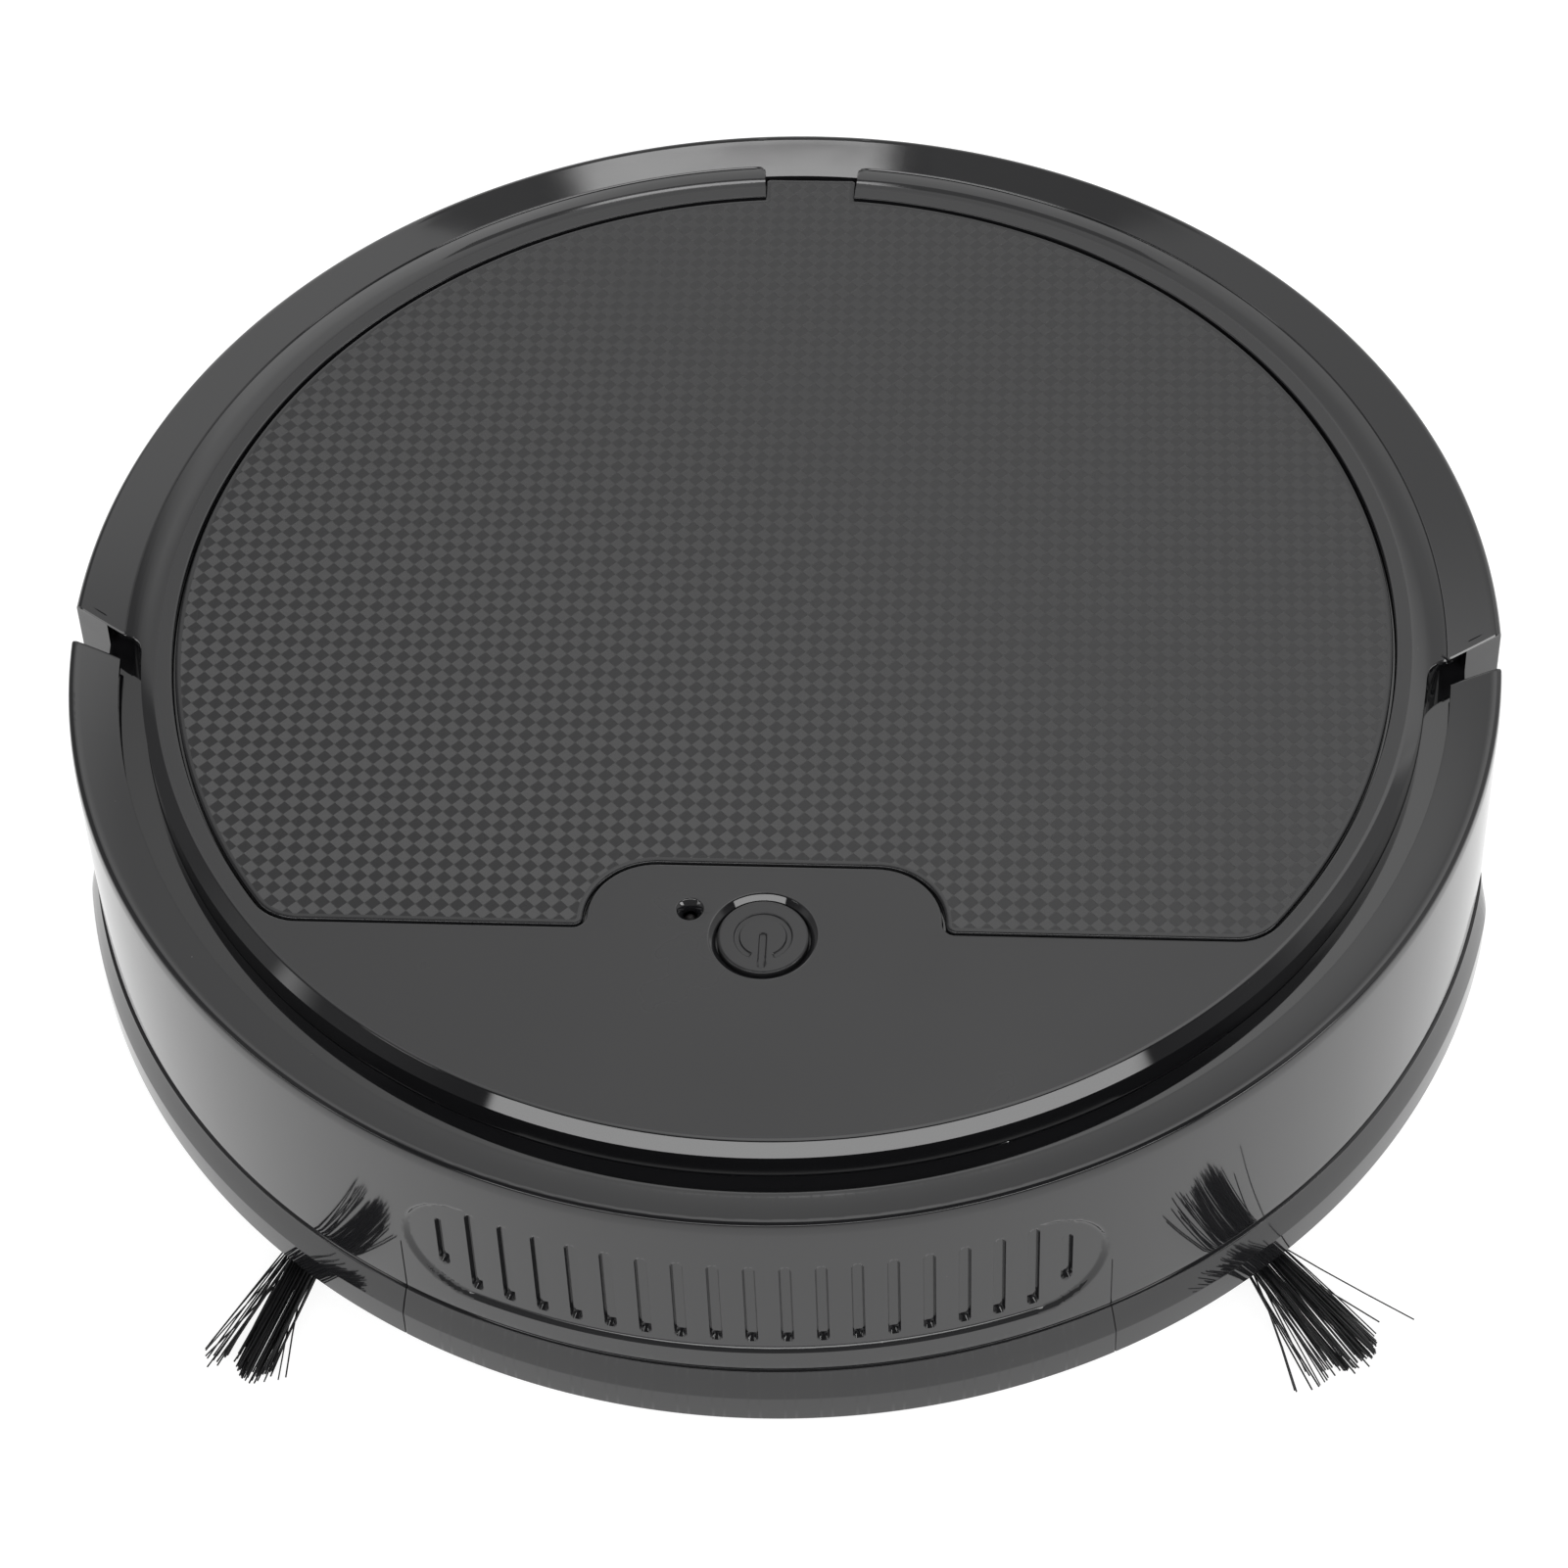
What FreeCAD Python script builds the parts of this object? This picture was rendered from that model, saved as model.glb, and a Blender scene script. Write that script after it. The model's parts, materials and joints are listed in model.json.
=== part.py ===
import FreeCAD, Part
import math
import os

# Robot vacuum, about 283 mm across and 72 mm tall, in millimetres.
# Origin: on the floor under the centre of the body. +Z is up and -Y is the way it drives.
# "left" is the machine's own left, which is +X.

V = FreeCAD.Vector
SIDES = {"left": 1, "right": -1}
EPS = 0.05                        # face to face gap between pieces that sit on each other

# ---- body ----
BODY_R = 140.0                    # outer wall
SKIRT_R = 141.5                   # lower band of the wall
SKIRT_Z = 16.0                    # top of the band's upright face
SKIRT_TOP_Z = 22.5                # where the band's chamfer meets the wall
SKIRT_LIP_R = 140.6
SKIRT_IN_R = 130.0                # how far the rear band reaches in under the wall
WALL = 2.2
GROUND = 9.0                      # underside above the floor
FLOOR_T = 2.5
FLOOR_Z = GROUND + FLOOR_T        # inside face of the base
SPLIT_Z = 22.0                    # joint between lower and upper housings
TOP_Z = 72.0
PLATE_T = 2.5
PLATE_R = 125.3                   # raised round deck of the body
PLATE_BEVEL_R = 122.9
PLATE_BEVEL_Z = 70.0
LEDGE_Z = 66.0                    # fixed ledge that the bumper's flange rides over
LEDGE_R = 133.0
INNER_WALL_R = 133.0              # front wall behind the bumper
INNER_WALL = 2.0
RIM_Z = 69.2
RIM_IN_Z = 68.6                   # underside of the rear rim at the plate
LAND_R = 127.2                    # flat land between the lid and the rear rim's crease
CREASE = ((128.0, 71.2), (129.0, 71.1))
RIM_EDGE_R, RIM_EDGE_Z = 138.9, 70.0
RIM_LOW_Z = 67.6                  # underside of the rear rim at the wall
WEB_T = 2.4                       # end walls of the rear housing
POCKET_LINE = [(160.0, 18.8), (129.94, -4.0), (127.2, -5.5), (124.4, -9.4), (123.5, -14.0)]
VENT_COUNT, VENT_PITCH, VENT_W = 11, 6.0, 3.0
VENT_Z0, VENT_Z1 = 30.0, 52.0
SOCKET_X, SOCKET_Z = -52.0, 36.0
SOCKET_R, SOCKET_HOLE_R = 6.0, 6.2
SOCKET_Y0, SOCKET_Y1 = 112.0, 126.0
FAR = 200.0                       # reach of the blocks that trim other pieces

# ---- bumper ----
BUMPER_FLANGE_R = 130.0
BUMPER_FLANGE_Z = 66.4            # underside of the flange
BUMPER_TOP_Z = 69.6
BUMPER_T = 2.4
BUMPER_EDGE_R, BUMPER_EDGE_Z = 138.7, 68.2
BUMPER_SHOULDER_R, FLANGE_TIP_Z = 136.0, 67.9
BUMPER_ENDS = [(160.0, 1.8), (122.0, -10.4), (-122.0, -10.4), (-160.0, 1.8), (-160.0, 160.0), (160.0, 160.0)]
BUMPER_SPRING_X = 48.0
BUMPER_SPRING_Z = 36.0
BUMPER_PAD_Y = -125.5
BUMPER_PAD_R = 4.2
SPRING_SEAT_Y = -114.0
SPRING_SEAT_HALF, SPRING_SEAT_T = 4.0, 3.0
BUMPER_SPRING_R, BUMPER_SPRING_BORE_R = 3.4, 2.6
SWITCH_TAB_X = 71.0
SWITCH_TAB_Y = -108.0
SWITCH_Z = 49.5
SWITCH_PIVOT_X = 62.0
SWITCH_X0, SWITCH_X1 = 60.5, 73.5
SWITCH_Y0, SWITCH_Y1 = -103.0, -97.0
SWITCH_HALF_Z = 3.4
SWITCH_LUG_Y, SWITCH_LUG_GAP = -108.6, 1.4
LEVER_Y = -107.7

# ---- grille on the bumper's front ----
GRILLE_HALF_ANGLE = 27.7
GRILLE_Z0, GRILLE_Z1 = 28.7, 57.0
GRILLE_DEPTH = 0.8
SLOT_COUNT = 19
SLOT_PITCH = 2.72
SLOT_W = 2.2
SLOT_Z0, SLOT_Z1 = 31.3, 55.0
SLOT_END_Z0, SLOT_END_Z1 = 36.0, 50.0
SLOT_DEPTH = 1.5

# ---- lid ----
LID_R = 119.0
LID_FRONT_Y = -74.7
LID_NOTCH_HALF = 33.6
LID_NOTCH_Y = -59.4
LID_NOTCH_R = 13.1
LID_NOTCH_MOUTH_R = 2.4
LID_CORNER_R = 10.0
LID_TAB_HALF = 9.2
LID_TAB_Y = 123.7
LID_GAP = 0.5                     # each side of the outline
LID_Z0, LID_Z1 = 70.2, 71.9
SEAT_W = 4.0                      # ledge that carries the lid
SEAT_Z0 = 67.5
HINGE_Y, HINGE_Z = -87.0, 66.0
HINGE_X0, HINGE_X1 = 57.5, 66.5
HINGE_PIN_R = 1.2
HINGE_BARREL_R = 3.0
GOOSENECK_R0, GOOSENECK_R1 = 13.8, 17.4
EAR_T = 2.5
EAR_HALF = 3.5
EAR_GAP = 0.4

# ---- power button and light ----
BUTTON_Y = -76.2
BUTTON_R = 8.6
BUTTON_DISH_R = 10.0
LED_X, LED_Y = -14.0, -70.3
LED_R = 1.35
BOARD_Z = 60.0
BOARD_T = 1.6
BOARD_POSTS = ((42.0, -104.0), (49.5, -80.0))
CAP_Z = TOP_Z - 0.1
COLLAR_R, COLLAR_Z = 9.5, 67.4

# ---- side brushes ----
BRUSH_X, BRUSH_Y = 78.5, -69.0
BRUSH_REACH = 60.0
BRUSH_HEADING = {"left": 28.8, "right": 19.5}   # of the front tuft, from -Y outwards, in degrees
BRUSH_MODULE = 0.8
BRUSH_TEETH, BRUSH_PINION_TEETH = 36, 12
BRUSH_GEAR_Z0, BRUSH_GEAR_Z1 = 14.0, 20.0
BRUSH_SHAFT_R = 3.0
BRUSH_MOTOR_R = 10.0
BRUSH_HUB_R, BRUSH_HUB_Z = 11.0, 3.6
TUFT_R, TUFT_Z0, TUFT_Z1 = 19.05, 1.6, 5.6
TUFT_HALF_ROOT, TUFT_HALF_TIP = 2.4, 7.5

# ---- drive wheels ----
WHEEL_Y, WHEEL_Z = 12.0, 29.0
WHEEL_R, RIM_R = 29.0, 24.0
WHEEL_X0, WHEEL_X1 = 96.0, 112.0
PIVOT_Y, PIVOT_Z = 52.0, 29.0
PIVOT_R = 2.5
ARM_X0, ARM_X1 = 82.0, 92.0
COVER_X0 = 79.0
ARM_BIG_R, ARM_SMALL_R = 19.5, 6.0
ARM_WALL = 1.8
DRIVE_MODULE = 0.7
DRIVE_TEETH, DRIVE_PINION_TEETH = 48, 12
AXLE_R = 3.0
DRIVE_MOTOR_R, DRIVE_MOTOR_X0 = 10.0, 50.0
WELL_X0, WELL_X1 = 78.5, 114.0
WELL_Y0, WELL_Y1 = -19.0, 46.0
DOME_Z = 59.5
SUSPENSION_X, SUSPENSION_Y = 87.0, 21.0
SUSPENSION_PAD_Z = 48.9
BAY_WALL = 1.5                    # dust cover round the wheel
PIVOT_EAR_IN, PIVOT_EAR_OUT = 75.6, 92.3
PIVOT_EAR_T, PIVOT_EAR_HALF = 3.0, 5.5

# ---- front caster ----
CASTER_Y = -100.0
CASTER_TRAIL = 5.0
CASTER_R = 11.0
CASTER_W = 8.0
CUP_R = 18.5
CUP_Z = 26.0
CASTER_STEM_R, CASTER_STEM_Z = 3.05, 37.0

# ---- suction path ----
DUCT_HALF = 42.0
DUCT_Y0, DUCT_Y1 = -41.0, -14.0
DUCT_Z1 = 57.0
PORT_HALF = 25.0
PORT_Z0, PORT_Z1 = 38.0, 52.0
BIN_HALF = 46.0
BIN_Y0, BIN_Y1 = -12.0, 66.5
BIN_Z0, BIN_Z1 = 14.0, 60.0
BIN_WALL = 1.8
BIN_CORNER_R = 5.0
WIPER = [(-12.0, 10.45), (-10.0, 10.45), (-10.0, 9.0), (-10.4, 1.8), (-11.6, 1.8), (-12.0, 9.0)]
WIPER_HALF = 40.0
DECK_R, DECK_Z0, DECK_Z1 = 116.5, 62.0, 64.0
DECK_FRONT_Y = -58.0
DECK_WELL = 2.0                   # gap round the dust bin
DECK_RIB_X = (56.0, 64.0, 72.0)
FILTER_HALF = 36.0
FILTER_Z0, FILTER_Z1 = 20.0, 52.0
FILTER_Y0, FILTER_Y1 = 66.6, 76.0
FAN_Z = 36.0
FAN_R = 24.0
FAN_Y0, FAN_Y1 = 78.0, 98.0

# ---- battery ----
DOOR_HALF = 46.0
DOOR_Y0, DOOR_Y1 = -79.5, -43.5
BATTERY_HALF = 35.0
DOOR_SCREW_X, DOOR_SCREW_Y = 41.5, -61.5
DOOR_GAP = 0.2

# ---- fasteners ----
BOSSES = [(sx * x, y) for sx in (1, -1) for x, y in ((110.0, -60.0), (60.0, 112.0), (30.0, -122.0))]
BOSS_R = 4.0
SCREW_R = 1.4
SCREW_HEAD_R = 2.8
CLIFF_WINDOWS = ((0.0, -124.5, 6.0), (58.0, -106.0, 5.0), (-58.0, -106.0, 5.0))


# ---- helpers ----
def box(x0, x1, y0, y1, z0, z1):
    return Part.makeBox(x1 - x0, y1 - y0, z1 - z0, V(x0, y0, z0))


def cyl(x, y, z0, z1, r):
    return Part.makeCylinder(r, z1 - z0, V(x, y, z0))


def cyl_x(y, z, x0, x1, r):
    return Part.makeCylinder(r, x1 - x0, V(x0, y, z), V(1, 0, 0))


def cyl_y(x, z, y0, y1, r):
    return Part.makeCylinder(r, y1 - y0, V(x, y0, z), V(0, 1, 0))


def join(first, *others):
    return first.multiFuse(list(others)).removeSplitter()


def cut(shape, *tools):
    return shape.cut(list(tools)).removeSplitter()


def prism(points, z0, z1):
    wire = Part.makePolygon([V(x, y, z0) for x, y in points] + [V(points[0][0], points[0][1], z0)])
    return Part.Face(wire).extrude(V(0, 0, z1 - z0))


def prism_x(points, x0, x1):
    """A (y, z) outline made solid along X."""
    wire = Part.makePolygon([V(x0, y, z) for y, z in points] + [V(x0, points[0][0], points[0][1])])
    return Part.Face(wire).extrude(V(x1 - x0, 0, 0))


def turned(profile):
    """A closed (r, z) outline turned all the way round Z."""
    wire = Part.makePolygon([V(r, 0, z) for r, z in profile] + [V(profile[0][0], 0, profile[0][1])])
    return Part.Face(wire).revolve(V(0, 0, 0), V(0, 0, 1), 360)


def heading(angle, reach):
    """The point at a heading from -Y, positive towards +X."""
    a = math.radians(angle)
    return reach * math.sin(a), -reach * math.cos(a)


def round_upright(shape, radius, points):
    """Fillets the upright edges that stand at the given (x, y) points."""
    edges = []
    for e in shape.Edges:
        a, b = e.Vertexes[0].Point, e.Vertexes[-1].Point
        upright = abs(a.x - b.x) < 1e-6 and abs(a.y - b.y) < 1e-6 and abs(a.z - b.z) > 1e-6
        if upright and any(math.hypot(a.x - x, a.y - y) < 0.5 for x, y in points):
            edges.append(e)
    return shape.makeFillet(radius, edges)


def tangent_hull_x(y0, z0, r0, y1, z1, r1, x0, x1):
    """A solid along X round two circles at the same height and the straight lines that touch both."""
    lean = math.asin((r0 - r1) / (y1 - y0))
    c, s = math.cos(lean), math.sin(lean)
    sides = [(y0 + r0 * s, z0 + r0 * c), (y1 + r1 * s, z1 + r1 * c),
             (y1 + r1 * s, z1 - r1 * c), (y0 + r0 * s, z0 - r0 * c)]
    return join(prism_x(sides, x0, x1), cyl_x(y0, z0, x0, x1, r0), cyl_x(y1, z1, x0, x1, r1))


def mirrored(shape, side):
    return shape if SIDES[side] > 0 else shape.mirror(V(0, 0, 0), V(1, 0, 0))


def gear(teeth, module, thickness, backlash=0.12):
    """An involute spur gear along +Z from the origin, with one tooth centred on +X."""
    pressure = math.radians(25)
    pitch_r = teeth * module / 2
    base_r = pitch_r * math.cos(pressure)
    tip_r = pitch_r + 0.9 * module
    root_r = pitch_r - 1.15 * module
    start_r = max(base_r, root_r)
    half_pitch = math.pi / (2 * teeth) - backlash / (2 * pitch_r) + math.tan(pressure) - pressure

    def half_angle(r):
        a = math.acos(min(1.0, base_r / r))
        return half_pitch - (math.tan(a) - a)

    flank = [start_r + (tip_r - start_r) * k / 4 for k in range(5)]
    points = []
    for k in range(teeth):
        centre = 2 * math.pi * k / teeth
        side = [(root_r, -half_angle(start_r))] + [(r, -half_angle(r)) for r in flank]
        side += [(r, -a) for r, a in reversed(side)]
        points += [(r * math.cos(centre + a), r * math.sin(centre + a)) for r, a in side]
    return prism(points, 0, thickness)


def spun(shape, degrees):
    return shape.rotated(V(0, 0, 0), V(0, 0, 1), degrees)


def along_x(shape, x, y, z):
    """Lays a piece built along +Z down along +X."""
    return shape.rotated(V(0, 0, 0), V(0, 1, 0), 90).translated(V(x, y, z))


# ---- housings ----
def end_line(y_shift=0.0):
    """Outline of everything in front of the rear housing's two ends."""
    right = [(x, y + y_shift) for x, y in POCKET_LINE]
    left = [(-x, y) for x, y in reversed(right)]
    edge = POCKET_LINE[0][0]
    return right + left + [(-edge, -edge), (edge, -edge)]


def lid_outline(offset, z0, z1):
    """The lid's outline, grown by offset, made solid."""
    half = LID_TAB_HALF + offset
    blank = join(cyl(0, 0, z0, z1, LID_R + offset), box(-half, half, 100, LID_TAB_Y + offset, z0, z1))
    front = LID_FRONT_Y - offset
    notch = LID_NOTCH_HALF - offset
    notch_y = LID_NOTCH_Y - offset
    blank = cut(blank, box(-FAR, FAR, -FAR, front, z0, z1), box(-notch, notch, -FAR, notch_y, z0, z1))
    corner_x = math.sqrt((LID_R + offset) ** 2 - front ** 2)
    mouth_r = max(LID_NOTCH_MOUTH_R + offset, 0.6)
    notch_r = min(LID_NOTCH_R - offset, notch_y - front - mouth_r - 0.1)
    blank = round_upright(blank, notch_r, [(notch, notch_y), (-notch, notch_y)])
    blank = round_upright(blank, mouth_r, [(notch, front), (-notch, front)])
    return round_upright(blank, LID_CORNER_R + offset, [(corner_x, front), (-corner_x, front)])


def hinge_zones(y0, y1, z0, z1, grow=0.0):
    """The two stretches in front of the lid where its hinge arms work."""
    x0, x1 = HINGE_X0 - grow, HINGE_X1 + grow
    return [box(x0, x1, y0, y1, z0, z1), box(-x1, -x0, y0, y1, z0, z1)]


def upper_plate():
    """The round deck, its bevel and the ledge in front of it."""
    under = TOP_Z - PLATE_T
    inside = PLATE_R - INNER_WALL
    return turned([(0, under), (inside, under), (inside, LEDGE_Z - 2), (LEDGE_R, LEDGE_Z - 2),
                   (LEDGE_R, LEDGE_Z), (PLATE_R, LEDGE_Z), (PLATE_R, PLATE_BEVEL_Z),
                   (PLATE_BEVEL_R, TOP_Z), (0, TOP_Z)])


def end_web(z0, z1, slope_z):
    """The walls that close the two ends of a rear housing half."""
    web = turned([(LEDGE_R - 2, z0), (BODY_R, z0), (BODY_R, z1), (LEDGE_R - 2, slope_z)])
    return cut(web, prism(end_line(), 0, 80)).common(prism(end_line(WEB_T), 0, 80))


def front_wall(z0, z1):
    """The inner wall behind the bumper."""
    wall = turned([(INNER_WALL_R - INNER_WALL, z0), (INNER_WALL_R, z0), (INNER_WALL_R, z1),
                   (INNER_WALL_R - INNER_WALL, z1)])
    return wall.common(box(-FAR, FAR, -FAR, 0.5, 0, 80))


def button_holes():
    """The button's hole with the dish round it, and the lamp's hole with its countersink."""
    hole_r = BUTTON_R + 0.3
    dish = Part.makeCone(hole_r, BUTTON_DISH_R, 1.2, V(0, BUTTON_Y, TOP_Z - 1.2))
    sink = Part.makeCone(LED_R, 2.6, 1.2, V(LED_X, LED_Y, TOP_Z - 1.2))
    return [cyl(0, BUTTON_Y, 60, 80, hole_r), dish, cyl(LED_X, LED_Y, 60, 80, LED_R + EPS), sink]


def hinge_ears(sx):
    """Four ears that carry the lid's pins, and the bores through them."""
    ears, bores = [], []
    for x0 in (HINGE_X0 - EAR_GAP - EAR_T, HINGE_X1 + EAR_GAP):
        a, b = sorted((sx * x0, sx * (x0 + EAR_T)))
        ears.append(box(a, b, HINGE_Y - EAR_HALF, HINGE_Y + EAR_HALF, HINGE_Z - EAR_HALF, TOP_Z - 2))
        bores.append(cyl_x(HINGE_Y, HINGE_Z, a - 1, b + 1, HINGE_PIN_R + 0.01))
    return ears, bores


def upper_housing():
    wall_in = BODY_R - WALL
    low = SPLIT_Z + EPS
    rear = turned([(PLATE_R - 2, RIM_IN_Z), (PLATE_R - 2, TOP_Z), (LAND_R, TOP_Z), *CREASE,
                   (RIM_EDGE_R, RIM_EDGE_Z), (BODY_R, RIM_Z), (BODY_R, low), (wall_in, low),
                   (wall_in, RIM_LOW_Z)])
    rear = cut(rear, prism(end_line(), 0, 80))
    seat = lid_outline(3.0, SEAT_Z0, TOP_Z - 1).common(cyl(0, 0, 0, 80, PLATE_R))
    shell = join(upper_plate(), rear, end_web(low, RIM_Z, 68), front_wall(low, LEDGE_Z - 1), seat)

    shell = cut(shell, lid_outline(LID_GAP, LID_Z0 - EPS, 80), lid_outline(-SEAT_W, 50, 80))
    shell = cut(shell, *hinge_zones(-84, LID_FRONT_Y + SEAT_W + 2, 50, TOP_Z - PLATE_T, 1.0))
    shell = cut(shell, *hinge_zones(LID_FRONT_Y - LID_GAP, -60, 50, 80, 1.0))
    shell = cut(shell, *button_holes())
    half = LID_TAB_HALF + LID_GAP
    shell = cut(shell, box(-half, half, LID_TAB_Y, CREASE[0][0] - 0.1, TOP_Z - 1.7, 80))

    solids, tools = [], []
    for sx in (1, -1):
        ears, bores = hinge_ears(sx)
        solids += ears
        tools += bores
        tools.append(cyl_y(sx * BUMPER_SPRING_X, BUMPER_SPRING_Z, -140, -118, BUMPER_PAD_R + 0.6))
        x = sx * SWITCH_TAB_X
        tools.append(box(x - 3, x + 3, -125, -100, SWITCH_Z - 2.5, SWITCH_Z + 2.5))
    for x, y in BOSSES:
        top = LEDGE_Z - 1 if y < 0 else 68.5
        solids.append(cyl(x, y, SPLIT_Z + 3, top, BOSS_R))
        tools.append(cyl(x, y, SPLIT_Z, 40, SCREW_R + 0.02))
    for k in range(VENT_COUNT):
        x = (k - (VENT_COUNT - 1) / 2) * VENT_PITCH
        tools.append(box(x - VENT_W / 2, x + VENT_W / 2, 125, 150, VENT_Z0, VENT_Z1))
    return cut(join(shell, *solids), *tools, cyl_y(SOCKET_X, SOCKET_Z, 110, 150, SOCKET_HOLE_R))


def lower_housing():
    floor = cyl(0, 0, GROUND, FLOOR_Z, INNER_WALL_R)
    wall_in = BODY_R - WALL
    band = turned([(SKIRT_IN_R, GROUND), (SKIRT_R, GROUND), (SKIRT_R, SKIRT_Z), (SKIRT_LIP_R, SPLIT_Z),
                   (wall_in, SPLIT_Z), (wall_in, FLOOR_Z), (SKIRT_IN_R, FLOOR_Z)])
    rear = cut(band, prism(end_line(), 0, 80))
    solids = [front_wall(GROUND, SPLIT_Z), rear, end_web(GROUND, SPLIT_Z, SPLIT_Z)]
    holes = []
    for x, y in BOSSES:
        solids.append(cyl(x, y, FLOOR_Z - 1, SPLIT_Z + 3 - EPS, BOSS_R))
        holes += [cyl(x, y, 0, 40, SCREW_R + 0.25), cyl(x, y, 0, GROUND + 3, SCREW_HEAD_R + 0.3)]
    for sx in (1, -1):
        solids += drive_bay(sx) + brush_bay(sx) + front_fittings(sx)
        a, b = sorted((sx * WELL_X0, sx * WELL_X1))
        holes.append(box(a, b, WELL_Y0, WELL_Y1, 0, FLOOR_Z + 0.01))
        holes.append(cyl_x(PIVOT_Y, PIVOT_Z, *sorted((sx * 70, sx * 96.5)), PIVOT_R + EPS))
        holes.append(cyl(sx * BRUSH_X, BRUSH_Y, 0, 30, BRUSH_SHAFT_R + EPS))
        holes.append(cyl(sx * DOOR_SCREW_X, DOOR_SCREW_Y, 0, 20, 1.1))
    cup = cut(cyl(0, CASTER_Y, GROUND, CUP_Z + 2, CUP_R + 1.5), cyl(0, CASTER_Y, 0, CUP_Z, CUP_R))
    solids += [cup, cyl(0, CASTER_Y, CUP_Z, CASTER_STEM_Z + 1, 2 * CASTER_STEM_R - 0.1)]
    holes += [cyl(0, CASTER_Y, 0, CUP_Z, CUP_R), cyl(0, CASTER_Y, 0, CASTER_STEM_Z, CASTER_STEM_R)]
    door, duct = DOOR_HALF + DOOR_GAP, DUCT_HALF + DOOR_GAP
    holes.append(box(-door, door, DOOR_Y0 - DOOR_GAP, DOOR_Y1 + DOOR_GAP, 0, FLOOR_Z))
    holes.append(box(-duct, duct, DUCT_Y0 - DOOR_GAP, DUCT_Y1 + DOOR_GAP, 0, 30))
    holes.append(box(-WIPER_HALF - 1, WIPER_HALF + 1, -12.2, -9.8, 0, 10.5))
    holes += [box(x - w, x + w, y - 3, y + 3, 0, 10.6) for x, y, w in CLIFF_WINDOWS]
    return cut(join(floor, *solids), *holes)


def front_fittings(sx):
    """On one side of the base: spring seat, switch bracket, battery door boss and board posts."""
    x = sx * BUMPER_SPRING_X
    half = SPRING_SEAT_HALF
    seat_back_y = SPRING_SEAT_Y + SPRING_SEAT_T
    seat = box(x - half, x + half, SPRING_SEAT_Y, seat_back_y, FLOOR_Z - 1, BUMPER_SPRING_Z + 5)
    a, b = sorted((sx * SWITCH_PIVOT_X, sx * SWITCH_TAB_X))
    bracket = box(a, b, SWITCH_Y0 + 1, SWITCH_Y1 - 1, FLOOR_Z - 1, SWITCH_Z - 3.5)
    boss = cyl(sx * DOOR_SCREW_X, DOOR_SCREW_Y, FLOOR_Z + EPS, 21, 3.5)
    a, b = sorted((sx * 38, sx * 50))
    bridge = box(a, b, DOOR_SCREW_Y - 2, DOOR_SCREW_Y + 2, FLOOR_Z + EPS, 17)
    posts = [cyl(sx * px, py, FLOOR_Z - 1, BOARD_Z - EPS, 3) for px, py in BOARD_POSTS]
    return [seat, bracket, boss, bridge, *posts]


def drive_bay(sx):
    """The wheel's dust cover and the two ears that the swing arm hangs in."""
    def wall(x0, x1, *rest):
        a, b = sorted((sx * x0, sx * x1))
        return box(a, b, *rest)

    top = DOME_Z + BAY_WALL
    out = WELL_X1 + BAY_WALL
    y0, y1 = WELL_Y0 - BAY_WALL, WELL_Y1 + BAY_WALL
    ear_y0, ear_y1 = PIVOT_Y - PIVOT_EAR_HALF, PIVOT_Y + PIVOT_EAR_HALF
    ears = [wall(x, x + PIVOT_EAR_T, ear_y0, ear_y1, FLOOR_Z - 1, PIVOT_Z + 5)
            for x in (PIVOT_EAR_IN, PIVOT_EAR_OUT)]
    return [wall(WELL_X1, out, y0, y1, GROUND, top), wall(ARM_X1 + 2, out, y0, WELL_Y0, GROUND, top),
            wall(ARM_X1 + 2, out, WELL_Y1, y1, GROUND, top), wall(WELL_X0, out, y0, y1, DOME_Z, top), *ears]


def motor_x():
    """How far the brush motor stands from the middle: one gear centre distance in from the brush."""
    return BRUSH_X - BRUSH_MODULE * (BRUSH_TEETH + BRUSH_PINION_TEETH) / 2


def brush_bay(sx):
    """The brush shaft's bearing boss and the cradle of its motor, open towards the gear."""
    x = sx * motor_x()
    cradle = cyl(x, BRUSH_Y, FLOOR_Z - 1, 30, BRUSH_MOTOR_R + 2)
    cradle = cut(cradle, cyl(x, BRUSH_Y, 0, 40, BRUSH_MOTOR_R + 0.15))
    gear_side = sorted((x, x + sx * 20))
    cradle = cut(cradle, box(*gear_side, BRUSH_Y - 20, BRUSH_Y + 20, FLOOR_Z, BRUSH_GEAR_Z1 + 1))
    ring = cyl(x, BRUSH_Y, BRUSH_GEAR_Z1 + 1, BRUSH_GEAR_Z1 + 3, BRUSH_MOTOR_R + 1)
    ring = cut(ring, cyl(x, BRUSH_Y, 0, 40, 6))
    return [cradle, ring, cyl(sx * BRUSH_X, BRUSH_Y, GROUND, BRUSH_GEAR_Z0 - 0.5, 6)]


def service_deck():
    """The inner cover under the lid, with a well for the dust bin."""
    plate = cyl(0, 0, DECK_Z0, DECK_Z1, DECK_R)
    rim = cut(cyl(0, 0, DECK_Z0, SEAT_Z0 - EPS, DECK_R), cyl(0, 0, 60, 80, DECK_R - 2))
    half, y0, y1 = BIN_HALF + DECK_WELL, BIN_Y0 - DECK_WELL, BIN_Y1 + 2.5
    well = box(-half, half, y0, y1, 0, 80)
    deck = cut(join(plate, rim), box(-FAR, FAR, -FAR, DECK_FRONT_Y, 0, 80), well)
    rail = cut(box(-half - 2, half + 2, y0 - 2, y1 + 2, DECK_Z0, DECK_Z1 + 2), well)
    spots = [sx * x for x in DECK_RIB_X for sx in (1, -1)]
    ribs = [box(x - 1, x + 1, 20, 90, DECK_Z1 - 1, DECK_Z1 + 1.5) for x in spots]
    return join(deck, rail, *ribs)


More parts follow.
